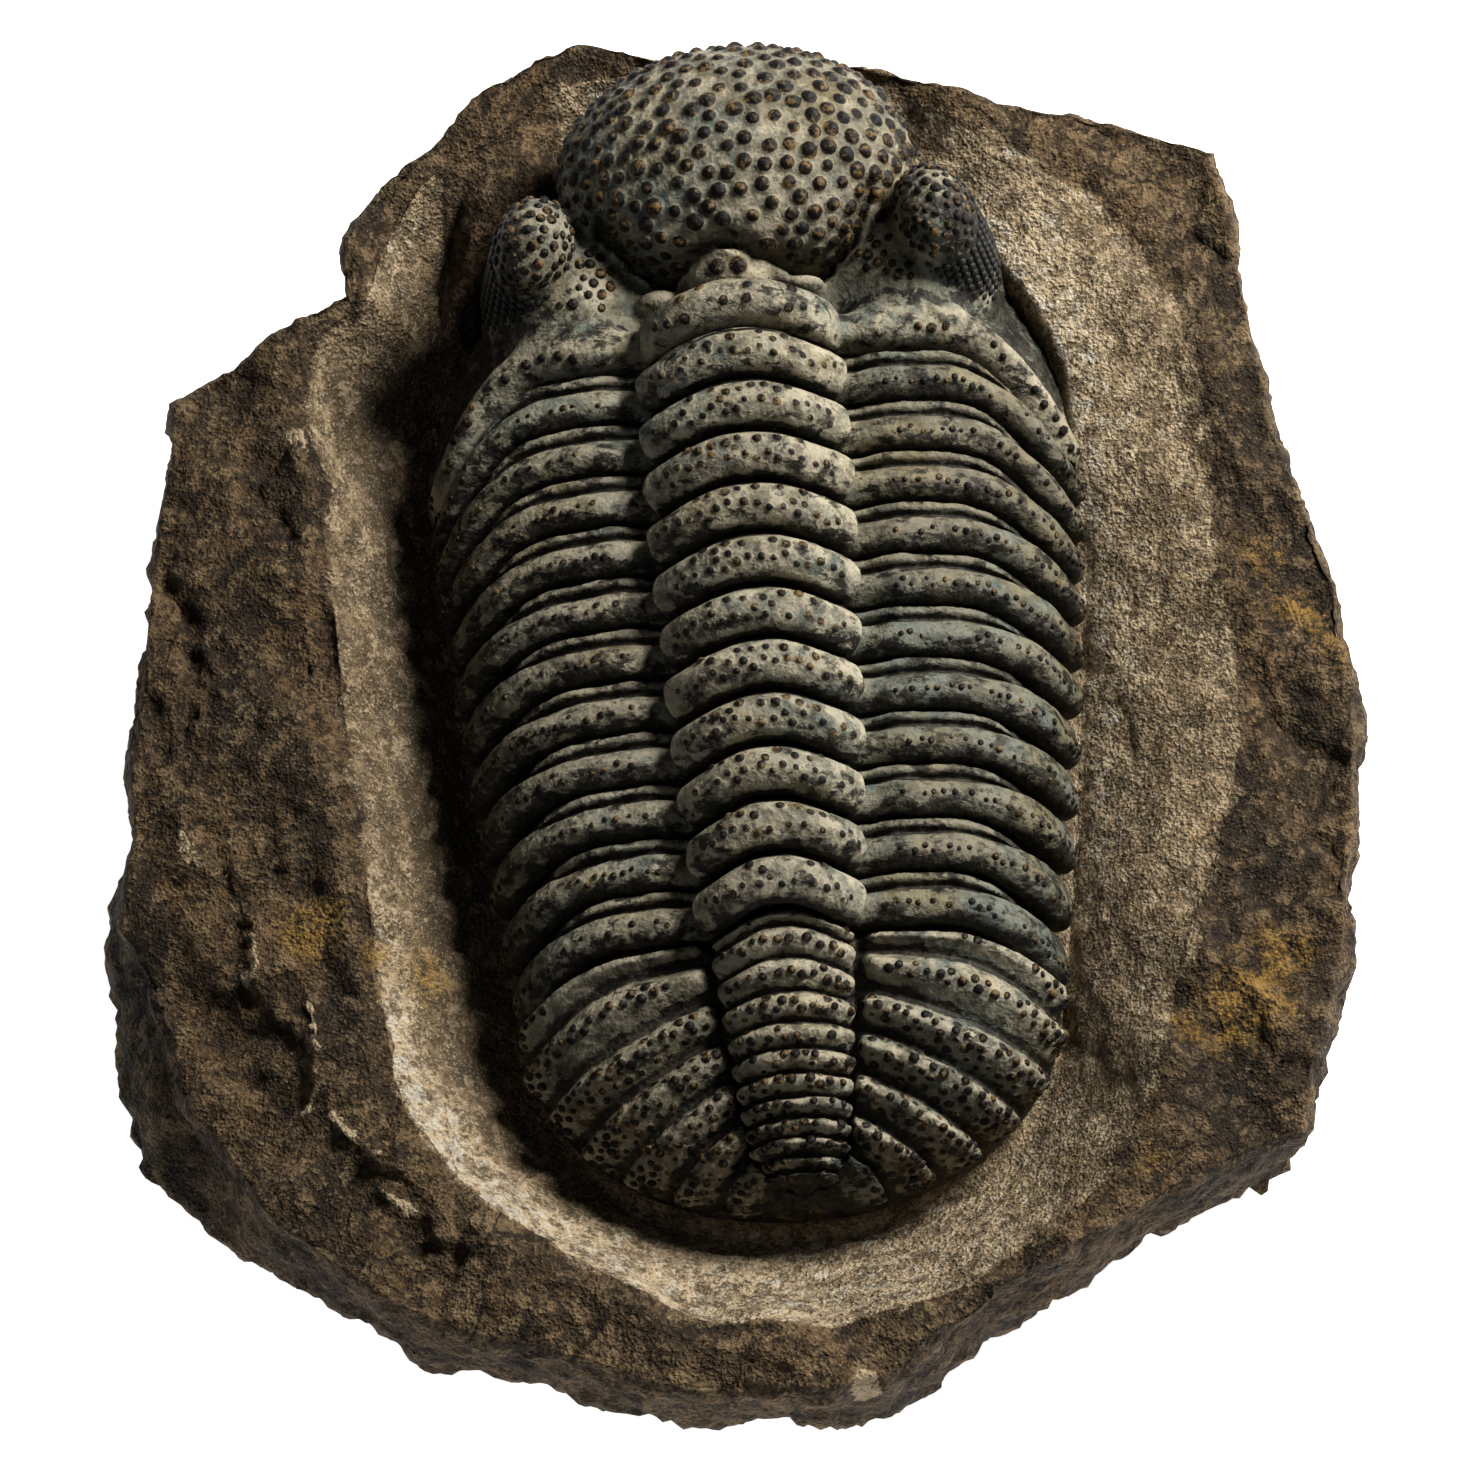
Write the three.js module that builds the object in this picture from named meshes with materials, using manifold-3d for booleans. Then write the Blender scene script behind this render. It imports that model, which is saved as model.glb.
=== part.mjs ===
// A large Devonian trilobite with turret eyes, prepared on its block of limestone.
// Millimetres, +Z up out of the block's face, +Y towards the head, +X to the right as seen from above.
// The origin is on the flat underside of the block, under the middle of its outline.
// The shell is a thin arch: a head shield, eleven body rings that hinged on each other, and a tail shield.
// The rock is one piece, with a dish cut round the animal and a mound that fills the hollow under the shell.
import * as THREE from "three";
import { mergeVertices } from "three/addons/utils/BufferGeometryUtils.js";
import Module from "manifold-3d";

const wasm = await Module();
wasm.setup();

// Where the animal lies on the block. Its own frame has p to its right and q towards its head.
const BODY_X = 3;
const BODY_Y = 2;
const BODY_TURN = THREE.MathUtils.degToRad(3.75);

// The middle of the block's outline, which the part's origin lies under.
const MIDDLE_X = -1.26;
const MIDDLE_Y = 0.85;

// Levels above the underside of the block
const MARGIN_Z = 25;
const FURROW_Z = 41;
const FACE_Z = 36;
const DISH_Z = 22.5;
const BED_Z = 24.2;
const MOUND_FOOT_Z = 20;
const WAIST_Z = 24;

// The shell and its fit on the mound
const SHELL = 1.9;
const BED_GAP = 0.45;
const SHELL_FIT = 0.05;
const AXIS_SQUARENESS = 2.6;
const PLEURA_SQUARENESS = 2.3;
const NORMAL_STEP = 0.04;

// Body rings. Tapers and falls grow with the number of rings behind the first.
const RING = {
  count: 11,
  firstQ: 29.7,
  pitch: 5.53,
  neckQ: 35.6,
  axisHalf: 10.3,
  axisTaper: 0.025,
  axisRise: 6.2,
  axisFall: 0.06,
  half: 32.9,
  taper: 0.25,
  taperGrowth: 0.033,
  furrowFall: 0.018,
  crestLead: 1.5,
  sweep: 3.6,
  sweepGrowth: 0.105,
  leastSwept: 8,
  fulcrum: 0.25,
  sweptBy: 0.9,
  tipRounding: 0.55,
  furrowDip: 0.9,
  furrowWidth: 0.09,
};

// Cuts through a body ring, from its front edge over its top to its rear edge and back underneath:
// how far forward of the ring's middle, and how far out from the smooth arch.
const PLEURA_CUT = [
  [2.7, -SHELL], [2.7, -0.7], [2.1, 0], [1.25, -0.65], [0.7, 0.75], [-0.6, 1.2], [-2.0, 0.8], [-2.45, -0.6],
  [-2.45, -SHELL],
];
const AXIS_CUT = [
  [2.7, -SHELL], [2.7, -1.5], [2.2, -1.1], [1.7, -0.8], [1.1, 0.9], [-0.4, 1.5], [-2.0, 0.9], [-2.45, -0.7],
  [-2.45, -SHELL],
];
// The front band of a pleura is the cut's third point, and it fades out beyond the fulcrum.
const FRONT_BAND = 2;
const FRONT_BAND_GONE = -0.9;

// Head shield
const HEAD = {
  rearQ: 34.2,
  frontQ: 58,
  axisHalf: 9.4,
  axisRise: 2,
  half: 33.4,
  genalQ: 25.6,
  frontFurrowZ: 29,
  skinPush: -0.6,
  soleZ: 25.6,
  hollow: 0.82,
};
const GLABELLA = { p: 0.8, q: 54.2, z: 38.5, across: 18.6, along: 13.3, up: 12.2 };
const GLABELLA_REAR = { p: 0.3, q: 46.2, z: 39, across: 12.5, along: 7.5, up: 7.6 };
const WART_ROWS = 5;
const WART_RISE = 1.1;
const CHEEK = { p: 17.8, q: 43.2, z: 33.5, across: 8.6, along: 9.2, up: 9.8 };
const EYE = { p: 21.7, q: 44.5, across: 5, along: 6.6, foot: 30, top: 48.4, turn: 0.3, sides: 12 };
// Half-width of an eye, as a share of its widest, at shares of its height.
const EYE_BAND = [
  [0, 0], [0.86, 0], [0.9, 0.45], [1, 0.62], [0.98, 0.78], [0.84, 0.9], [0.5, 0.985], [0, 1],
];

// Tail shield. Its rows fan out from the axis, from the front edge round to the middle of the rear edge.
const TAIL = {
  frontQ: -28.55,
  axisEndQ: -51.4,
  axisHalf: 7.1,
  axisTaper: 0.58,
  axisShare: 0.7,
  axisRise: 4.4,
  axisEndRise: 0.6,
  half: 26.6,
  cornerQ: -33.3,
  tipQ: -53.8,
  furrowZ: 37.5,
  endFurrowZ: 32,
  fan: 0.75,
  fanned: 0.22,
  crestLead: 0.2,
  straightBy: 0.35,
  seam: 0.03,
  rings: 9,
  ringRise: 1,
  ribs: 7,
  ribRise: 1.3,
  rowsPerRing: 3,
  crowding: 1.2,
  furrowDip: 0.7,
  furrowWidth: 0.1,
  hollow: 0.76,
};

// The block, made of spokes that run out from a point under the animal's shoulders.
const BLOCK_CENTRE = new THREE.Vector2(2, 5);
const SPOKES = 60;
const UNDERCUT = 5;
const UNDERCUT_SWING = 4;
const EDGE_ROUND = 1.6;
const SIDE_LUMPS = 1.5;
const FACE_LUMPS = 0.7;
const DISH_FOOT = 0.8;
const CHIPPED_CORNER = { degrees: 216, spread: 14, depth: 7 };

// The block's widest outline, seen from above, anticlockwise from the right-hand corner by the head.
const OUTLINE = [
  [50.5, 62.5], [36, 66], [24.5, 68], [12.5, 71.5], [0, 72.2], [-9, 72.8], [-16.5, 75.3], [-21.5, 73],
  [-27.5, 70], [-32.5, 63], [-38, 58.5], [-42, 51], [-41, 46.5], [-48.5, 42], [-59, 34.5], [-61, 16],
  [-63, -14], [-66, -24.5], [-64.5, -34], [-62, -45], [-50.5, -54.5], [-32.5, -64.5], [-15, -69.5],
  [-4, -73], [9, -71.5], [14, -69.5], [25, -61], [33, -58.5], [47, -50.5], [57, -46], [61, -26],
  [63.5, -3], [62, 14], [56, 31.5], [52.5, 51.5],
];

// The upper edge of the dish that was cut round the animal, in the same order.
const RIM = [
  [46, 44], [40, 54], [28, 61], [14, 68.5], [-9, 69.5], [-17, 70], [-24, 64], [-33, 58], [-36.5, 52],
  [-38, 45], [-43, 42], [-45.5, 33], [-44, 26], [-42.5, 14], [-41.5, 0], [-39.5, -12], [-37, -27],
  [-34, -41], [-27, -52],
  [-15, -60.5], [-3, -65], [9, -64.5], [22, -60.5], [33, -52.5], [41, -42.5], [44, -29], [48, -16], [51, -1],
  [49, 15], [47.5, 30],
];

// Rises and falls of the natural face: the whole right side lies low, with a small swelling on it,
// a shoulder stands left of the head, and the lower left and upper right corners fall away.
const FACE_SWELLS = [
  { x: 58, y: 0, across: 21, along: 75, rise: -7.5 },
  { x: -25, y: 58, across: 9, along: 13, rise: 1.5 },
  { x: 52, y: -20, across: 16, along: 24, rise: 1.2 },
  { x: -58, y: -42, across: 16, along: 18, rise: -4 },
  { x: 50, y: 55, across: 18, along: 14, rise: -2.2 },
];

// The lump of rock that was left standing in the dish, left of the head.
const LUMP = { x: -24.5, y: 56, across: 7.2, along: 14.5, rise: 11.5, proud: 1.5 };

const clamp01 = (value) => THREE.MathUtils.clamp(value, 0, 1);
const mix = THREE.MathUtils.lerp;
const ease = (from, to, value) => THREE.MathUtils.smoothstep(value, from, to);
const bell = (offset, width) => Math.exp(-((offset / width) ** 2));

// A point of the animal's own frame on the block.
function onBlock(p, q, z) {
  const c = Math.cos(BODY_TURN);
  const s = Math.sin(BODY_TURN);
  return new THREE.Vector3(BODY_X + p * c - q * s, BODY_Y + p * s + q * c, z);
}

// Columns across the shell: negative on the left, 0 on the crest, 1 in the furrow beside the axis,
// 2 at the margin.
const mirrored = (half) => [...half.slice(1).reverse().map((c) => -c), ...half];
const SHELL_COLUMNS = mirrored([0, 0.55, 0.88, 1, 1.3, 1.55, 1.78, 2]);
const MOUND_COLUMNS = mirrored([0, 0.88, 1, 1.55, 1.78, 2]);

// How far out and how high the smooth arch of a station is at a column on its right-hand side.
function archProfile(station, column) {
  if (column <= 1) {
    const up = (1 - column ** AXIS_SQUARENESS) ** 0.8;
    return [station.axis * column, station.furrowZ + station.rise * up];
  }
  const angle = ((column - 1) * Math.PI) / 2;
  const across = Math.sin(angle) ** (2 / PLEURA_SQUARENESS);
  const up = Math.max(Math.cos(angle), 0) ** (2 / PLEURA_SQUARENESS);
  return [mix(station.axis, station.half, across), mix(station.marginZ, station.furrowZ, up)];
}

// A point of a station's arch, pushed out along the arch's own normal and moved forward.
function archPoint(station, column, push, forward = 0) {
  const side = Math.sign(column);
  const c = Math.abs(column);
  const [p, z] = archProfile(station, c);
  const [pIn, zIn] = archProfile(station, Math.max(c - NORMAL_STEP, 0));
  const [pOut, zOut] = archProfile(station, Math.min(c + NORMAL_STEP, 2));
  const length = Math.hypot(pOut - pIn, zOut - zIn);
  const normalP = c === 0 ? 0 : (zIn - zOut) / length;
  const normalZ = c === 0 ? 1 : (pOut - pIn) / length;
  const swept = mix(station.furrowQ, station.marginQ, station.sweep(clamp01(c - 1)));
  const q = mix(station.crestQ, swept, ease(0, 1, c)) + forward;
  return onBlock(side * (p + push * normalP), q, z + push * normalZ);
}

// The backward turn of a pleura: none as far as the fulcrum, and all of it shortly before the tip.
const pleuraSweep = (share) => ease(RING.fulcrum, RING.sweptBy, share);

// Station of a body ring, 1 behind the head to 11 before the tail; 0 is the ring at the back of the head.
function ringStation(number) {
  const behind = Math.max(number - 1, 0);
  const q = number === 0 ? RING.neckQ : RING.firstQ - RING.pitch * behind;
  const fromLeast = number - RING.leastSwept;
  return {
    axis: RING.axisHalf - RING.axisTaper * behind ** 2,
    half: RING.half - RING.taper * behind - RING.taperGrowth * behind ** 2,
    furrowZ: FURROW_Z - RING.furrowFall * behind ** 2,
    marginZ: MARGIN_Z,
    rise: RING.axisRise - RING.axisFall * behind,
    crestQ: q + RING.crestLead,
    furrowQ: q,
    marginQ: q - RING.sweep - RING.sweepGrowth * fromLeast ** 2,
    tipSpacing: 1 + (2 * RING.sweepGrowth * fromLeast) / RING.pitch,
    sweep: pleuraSweep,
  };
}

// Station of the head shield, from its rear edge (0) to its front edge (1).
function headStation(along) {
  const angle = (along * Math.PI) / 2;
  const across = Math.max(Math.cos(angle), 0.02);
  const q = mix(HEAD.rearQ, HEAD.frontQ, along);
  return {
    axis: HEAD.axisHalf * across ** 0.8,
    half: HEAD.half * across,
    furrowZ: mix(HEAD.frontFurrowZ, FURROW_Z - 1, across ** 0.6),
    marginZ: MARGIN_Z,
    rise: HEAD.axisRise * across,
    crestQ: q,
    furrowQ: q,
    marginQ: mix(HEAD.genalQ, HEAD.frontQ, Math.sin(angle)),
    sweep: pleuraSweep,
  };
}

// Station of the tail shield, from its front edge (0) round to the middle of its rear edge (1).
function tailStation(along) {
  const angle = (along ** TAIL.fan * Math.PI) / 2;
  const half = TAIL.half * Math.cos(angle) + 2 * TAIL.seam;
  const q = mix(TAIL.frontQ, TAIL.axisEndQ, along ** 0.85);
  const rise = TAIL.axisRise * mix(1, TAIL.axisEndRise, along);
  return {
    axis: Math.min(TAIL.axisHalf * mix(1, TAIL.axisTaper, along), TAIL.axisShare * half),
    half,
    furrowZ: mix(TAIL.furrowZ, TAIL.endFurrowZ, along ** 1.6),
    marginZ: MARGIN_Z,
    rise: rise * Math.min(1, half / TAIL.axisHalf),
    crestQ: q + mix(RING.crestLead, TAIL.crestLead, ease(0, TAIL.straightBy, along)),
    furrowQ: q,
    marginQ: mix(TAIL.cornerQ, TAIL.tipQ, Math.sin(angle)),
    sweep: (share) => mix(pleuraSweep(share), share ** 1.2, ease(0, TAIL.fanned, along)),
  };
}

// A closed geometry as a solid to join and cut, turned right side out if its faces point in.
function solidOf(geometry) {
  const bare = geometry.clone();
  bare.deleteAttribute("normal");
  bare.deleteAttribute("uv");
  const merged = mergeVertices(bare, 1e-4);
  const vertProperties = merged.attributes.position.array;
  const triVerts = new Uint32Array(merged.index.array);
  const make = () => new wasm.Manifold(new wasm.Mesh({ numProp: 3, vertProperties, triVerts }));
  if (make().volume() < 0) {
    for (let k = 0; k < triVerts.length; k += 3) {
      [triVerts[k + 1], triVerts[k + 2]] = [triVerts[k + 2], triVerts[k + 1]];
    }
  }
  return make();
}

function geometryOf(solid) {
  const mesh = solid.getMesh();
  const geometry = new THREE.BufferGeometry();
  geometry.setAttribute("position", new THREE.BufferAttribute(new Float32Array(mesh.vertProperties), 3));
  geometry.setIndex([...mesh.triVerts]);
  geometry.computeVertexNormals();
  return geometry;
}

// A closed solid from loops of equal length, capped at both ends.
function loft(loops) {
  const points = loops.flat();
  const faces = [];
  const n = loops[0].length;
  for (let row = 0; row + 1 < loops.length; row += 1) {
    for (let k = 0; k < n; k += 1) {
      const a = row * n + k;
      const b = row * n + ((k + 1) % n);
      faces.push([a, b, b + n], [a, b + n, a + n]);
    }
  }
  for (const [first, flip] of [[0, true], [(loops.length - 1) * n, false]]) {
    const middle = new THREE.Vector3();
    for (let k = 0; k < n; k += 1) {
      middle.addScaledVector(points[first + k], 1 / n);
    }
    const hub = points.push(middle) - 1;
    for (let k = 0; k < n; k += 1) {
      const next = first + ((k + 1) % n);
      faces.push(flip ? [hub, next, first + k] : [hub, first + k, next]);
    }
  }
  const geometry = new THREE.BufferGeometry().setFromPoints(points);
  geometry.setIndex(faces.flat());
  return solidOf(geometry);
}

// A body ring: the cut of its flank turns into the cut of its axis beyond the furrow between them.
function bodyRing(station) {
  const loops = SHELL_COLUMNS.map((column) => {
    const c = Math.abs(column);
    const flank = ease(0.8, 1.05, c);
    const dip = RING.furrowDip * bell(c - 1, RING.furrowWidth);
    const atTip = mix(1, RING.tipRounding, ease(1.85, 2, c));
    const length = mix(1, station.tipSpacing, station.sweep(clamp01(c - 1))) * atTip;
    return PLEURA_CUT.map(([forward, push], k) => {
      const [axisForward, axisPush] = AXIS_CUT[k];
      const flankPush = k === FRONT_BAND ? mix(push, FRONT_BAND_GONE, ease(1.4, 1.8, c)) : push;
      const out = mix(axisPush, flankPush, flank) - (push > -SHELL ? dip : 0);
      return archPoint(station, column, out, mix(axisForward, forward, flank) * length);
    });
  });
  return loft(loops);
}

// A solid shield on a flat foot, with a relief that depends on the row's share of the length and the column.
function shield(rows, relief) {
  return loft(
    rows.map(({ station, share }) =>
      SHELL_COLUMNS.map((column) => archPoint(station, column, relief(share, column))),
    ),
  );
}

function ellipsoid(shape, grown = 0) {
  return solidOf(
    new THREE.IcosahedronGeometry(1, 3)
      .scale(shape.across + grown, shape.along + grown, shape.up + grown)
      .rotateZ(BODY_TURN)
      .translate(...onBlock(shape.p, shape.q, shape.z).toArray()),
  );
}

// The great front lobe of the head, with a wart on every second crossing of its net of triangles.
function glabella() {
  const net = new THREE.IcosahedronGeometry(1, 2 * WART_ROWS - 1);
  const warts = new THREE.IcosahedronGeometry(1, WART_ROWS - 1).getAttribute("position");
  const size = new THREE.Vector3(GLABELLA.across, GLABELLA.along, GLABELLA.up);
  const key = (v) => v.toArray().map((part) => Math.round(part * 1000)).join();
  const tops = new Set();
  for (let k = 0; k < warts.count; k += 1) {
    tops.add(key(new THREE.Vector3().fromBufferAttribute(warts, k)));
  }
  const position = net.getAttribute("position");
  for (let k = 0; k < position.count; k += 1) {
    const v = new THREE.Vector3().fromBufferAttribute(position, k);
    const rise = tops.has(key(v)) ? WART_RISE : 0;
    const normal = v.clone().divide(size).normalize();
    v.multiply(size).addScaledVector(normal, rise);
    position.setXYZ(k, v.x, v.y, v.z);
  }
  const place = onBlock(GLABELLA.p, GLABELLA.q, GLABELLA.z);
  return solidOf(net.rotateZ(BODY_TURN).translate(...place.toArray()));
}

// A turret eye: a bulging band of lenses under a narrower, domed lid, longer along the body than across it.
function eye(side) {
  const band = EYE_BAND.map(([r, share]) => new THREE.Vector2(r, mix(EYE.foot, EYE.top, share)));
  return solidOf(
    new THREE.LatheGeometry(band, EYE.sides)
      .rotateX(Math.PI / 2)
      .scale(EYE.across, EYE.along, 1)
      .rotateZ(BODY_TURN + side * EYE.turn)
      .translate(...onBlock(side * EYE.p, EYE.q, 0).toArray()),
  );
}

// The head shield: smooth cheeks, a neck ring behind them, the two lobes of the glabella and the eyes.
function headShield() {
  const rows = [0, 0.16, 0.34, 0.52, 0.7, 0.86, 1].map((along) => ({ station: headStation(along) }));
  let solid = shield(rows, () => HEAD.skinPush);
  solid = solid.add(bodyRing(ringStation(0))).add(glabella()).add(ellipsoid(GLABELLA_REAR));
  for (const side of [-1, 1]) {
    solid = solid.add(eye(side)).add(ellipsoid({ ...CHEEK, p: side * CHEEK.p }));
  }
  const depth = 60;
  const below = new THREE.BoxGeometry(200, 200, depth).translate(0, 0, HEAD.soleZ - depth / 2);
  return solid.subtract(solidOf(below)).subtract(mound(SHELL_FIT));
}

// Rings on the tail's axis and ribs on its flanks, both closer together towards the tip.
function tailRelief(share, column) {
  const c = Math.abs(column);
  const wave = (count) => 0.5 + 0.5 * Math.cos(2 * Math.PI * count * share);
  const onAxis = 1 - ease(0.85, 1, c);
  const onFlank = ease(1, 1.12, c) * (1 - ease(1.72, 1.92, c));
  const dip = TAIL.furrowDip * bell(c - 1, TAIL.furrowWidth);
  return TAIL.ringRise * wave(TAIL.rings) * onAxis + TAIL.ribRise * wave(TAIL.ribs) * onFlank - dip;
}

function tailShield() {
  const steps = TAIL.rowsPerRing * TAIL.rings;
  const rows = Array.from({ length: steps + 1 }, (_, k) => {
    const share = k / steps;
    return { share, station: tailStation(share ** TAIL.crowding) };
  });
  return shield(rows, tailRelief).subtract(mound(SHELL_FIT));
}

// The rock that fills the shell, a gap below its lining and short of both ends of it.
function mound(gap) {
  const line = (station, forward = 0) =>
    MOUND_COLUMNS.map((column) => archPoint(station, column, -SHELL - gap, forward));
  const short = BED_GAP - gap;
  const rows = [line(headStation(HEAD.hollow), short)];
  for (const along of [0.7, 0.5, 0.33, 0.19]) {
    rows.push(line(headStation(along)));
  }
  for (let number = 0; number <= RING.count; number += 1) {
    rows.push(line(ringStation(number)));
  }
  for (const along of [0.02, 0.15, 0.3, 0.45, 0.6]) {
    rows.push(line(tailStation(along)));
  }
  rows.push(line(tailStation(TAIL.hollow), -short));
  return loft(
    rows.map((row) => {
      const foot = row.map((v) => v.clone().setZ(MOUND_FOOT_Z));
      return [...row, ...foot.reverse()];
    }),
  );
}

// How far a closed outline reaches from the block's centre in a direction.
function reach(outline, angle) {
  const ray = new THREE.Vector2(Math.cos(angle), Math.sin(angle));
  let far = 0;
  outline.forEach(([x0, y0], k) => {
    const [x1, y1] = outline[(k + 1) % outline.length];
    const start = new THREE.Vector2(x0, y0).sub(BLOCK_CENTRE);
    const edge = new THREE.Vector2(x1 - x0, y1 - y0);
    const along = start.cross(ray) / ray.cross(edge);
    const distance = start.cross(edge) / ray.cross(edge);
    if (along >= 0 && along <= 1 && distance > far) {
      far = distance;
    }
  });
  return far;
}

// The line where the shell's margin meets the rock, round the whole animal.
function bodyOutline() {
  const stations = [1, 0.85, 0.7, 0.5, 0.3, 0.15].map(headStation);
  for (let number = 1; number <= RING.count; number += 1) {
    stations.push(ringStation(number));
  }
  stations.push(...[0.1, 0.3, 0.5, 0.7, 0.85, 1].map(tailStation));
  const right = stations.map((station) => archPoint(station, 2, 0));
  const left = stations.slice(1, -1).map((station) => archPoint(station, -2, 0));
  return [...right, ...left.reverse()].map((v) => [v.x, v.y]);
}

// An uneven field between about -1 and 1, with lumps some 12 mm across.
const lumps = (x, y, z) =>
  (Math.sin(0.52 * x + 2.3 * Math.sin(0.21 * y + 0.5)) +
    Math.sin(0.47 * y - 1.9 * Math.sin(0.26 * x - 1.1)) +
    Math.sin(0.61 * z + 0.33 * x + 0.29 * y)) / 2.4;

// The natural face of the block outside the dish.
function faceHeight(x, y) {
  return FACE_SWELLS.reduce(
    (z, swell) => z + swell.rise * bell(x - swell.x, swell.across) * bell(y - swell.y, swell.along),
    FACE_Z + FACE_LUMPS * lumps(x, y, 0),
  );
}

const lumpHeight = (x, y) =>
  LUMP.rise * Math.exp(-(((x - LUMP.x) / LUMP.across) ** 4) - ((y - LUMP.y) / LUMP.along) ** 4);

// One spoke of the block, from the rim of its underside up its side and over its face to the animal's bed.
function blockSpoke(angle, foot) {
  const way = new THREE.Vector2(Math.cos(angle), Math.sin(angle));
  const undercut = UNDERCUT - UNDERCUT_SWING * (way.x + way.y);
  const fromCorner = THREE.MathUtils.radToDeg(angle) - CHIPPED_CORNER.degrees;
  const chipped = CHIPPED_CORNER.depth * bell(fromCorner, CHIPPED_CORNER.spread);
  const edge = reach(OUTLINE, angle);
  const shoulder = edge - EDGE_ROUND - chipped;
  const rim = Math.min(reach(RIM, angle), shoulder - 1);
  const bed = reach(foot, angle);
  const at = (r, z) => new THREE.Vector3(BLOCK_CENTRE.x + way.x * r, BLOCK_CENTRE.y + way.y * r, z);
  const onSide = (r, z) => {
    const v = at(r, z);
    return at(r + SIDE_LUMPS * (lumps(v.x, v.y, z) - 1), z);
  };
  const onFace = (r, below = 0) => {
    const v = at(r, 0);
    return v.setZ(faceHeight(v.x, v.y) - below);
  };
  const inDish = (share) => {
    const v = at(mix(bed + DISH_FOOT, rim, share), 0);
    const wall = mix(DISH_Z, faceHeight(v.x, v.y) - 1, share ** 1.5);
    const left = DISH_Z + lumpHeight(v.x, v.y) * ease(0, 0.4, share);
    return v.setZ(Math.max(wall, Math.min(left, FACE_Z + LUMP.proud)));
  };
  return [
    at(edge - undercut - 1.5, 0),
    at(edge - undercut, 1.5),
    onSide(edge - 0.45 * undercut, 9),
    onSide(edge - 0.1 * undercut, 17),
    at(edge, WAIST_Z),
    onFace(edge - 0.4 - chipped, 2.4),
    onFace(shoulder),
    onFace(mix(shoulder, rim, 0.55)),
    inDish(1),
    inDish(0.66),
    inDish(0.33),
    inDish(0),
    at(bed - 0.3, BED_Z),
  ];
}

// The block as rings of points, one for each stop along the spokes, cut clear of the glabella.
function block() {
  const foot = bodyOutline();
  const spokes = Array.from({ length: SPOKES }, (_, k) => blockSpoke((2 * Math.PI * k) / SPOKES, foot));
  const rings = spokes[0].map((_, stop) => spokes.map((spoke) => spoke[stop]));
  return loft(rings).subtract(ellipsoid(GLABELLA, WART_RISE + BED_GAP)).add(mound(BED_GAP));
}

// Finishes
const ROCK = new THREE.MeshStandardMaterial({ color: 0x6d6253, roughness: 0.95, metalness: 0 });
const SHELL_CALCITE = new THREE.MeshStandardMaterial({ color: 0x4f4c43, roughness: 0.6, metalness: 0 });

const fossil = new THREE.Group();
fossil.position.set(-MIDDLE_X, -MIDDLE_Y, 0);

function place(name, solid, material) {
  const mesh = new THREE.Mesh(geometryOf(solid), material);
  mesh.name = name;
  fossil.add(mesh);
}

place("rock_matrix", block(), ROCK);
place("head_shield", headShield(), SHELL_CALCITE);
for (let number = 1; number <= RING.count; number += 1) {
  const name = `body_ring_${String(number).padStart(2, "0")}`;
  place(name, bodyRing(ringStation(number)), SHELL_CALCITE);
}
place("tail_shield", tailShield(), SHELL_CALCITE);

export default fossil;
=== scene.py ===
"""A large warty trilobite with turret eyes, in a dish cut in a block of dark limestone.

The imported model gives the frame. The fine shapes are worked out here in millimetres, in the block's
own layout, and are moved into the model's frame, in metres, when they become meshes.
"""

import sys
import logging
import math
from dataclasses import dataclass
from enum import Enum
from typing import Callable, Optional, Union

import bpy
import numpy as np
from mathutils import Matrix, Vector


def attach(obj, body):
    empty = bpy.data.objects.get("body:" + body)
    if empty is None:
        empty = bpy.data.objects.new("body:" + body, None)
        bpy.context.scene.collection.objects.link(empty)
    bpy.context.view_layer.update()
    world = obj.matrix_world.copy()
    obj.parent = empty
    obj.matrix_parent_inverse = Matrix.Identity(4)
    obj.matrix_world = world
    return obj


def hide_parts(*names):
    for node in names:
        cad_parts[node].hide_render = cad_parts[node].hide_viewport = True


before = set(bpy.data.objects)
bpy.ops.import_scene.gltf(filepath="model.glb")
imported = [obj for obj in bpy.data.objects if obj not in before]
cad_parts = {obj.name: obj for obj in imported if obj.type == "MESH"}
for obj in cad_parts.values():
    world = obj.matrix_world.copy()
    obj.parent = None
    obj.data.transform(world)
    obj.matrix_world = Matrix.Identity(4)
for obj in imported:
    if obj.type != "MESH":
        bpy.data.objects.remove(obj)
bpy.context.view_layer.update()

LOG = logging.getLogger("trilobite")

Array = np.ndarray
Number = Union[float, Array]
Colour = tuple[float, float, float]

MM = 0.001

# The middle of the block's outline in the layout, which the model's origin lies under
LAYOUT_MIDDLE = np.array([-1.26, 0.85, 0.0])

# Where the animal lies on the block, and how far it is turned anticlockwise
BODY_PLACE = np.array([3.0, 2.0])
BODY_TURN = math.radians(3.75)

# Levels above the underside of the block
MARGIN_Z = 25.0
FURROW_Z = 41.0
FACE_Z = 36.0
DISH_Z = 22.5
BED_Z = 24.2

AXIS_SQUARENESS = 2.6
AXIS_FULLNESS = 0.8
PLEURA_SQUARENESS = 2.3
NORMAL_STEP = 0.02

RING_COUNT = 11

# Limits and shapes of the node trees
DENSITY_LIMIT = 1.2e7
DOME_FULLNESS = 1.3
MIDDLE_GREY = (0.5, 0.5, 0.5)

# The corners of a square, anticlockwise
CORNERS = ((-1, -1), (1, -1), (1, 1), (-1, 1))


class TreeKind(Enum):
    """The two kinds of node group that the scene makes."""

    SHADER = "ShaderNodeTree"
    GEOMETRY = "GeometryNodeTree"


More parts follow.
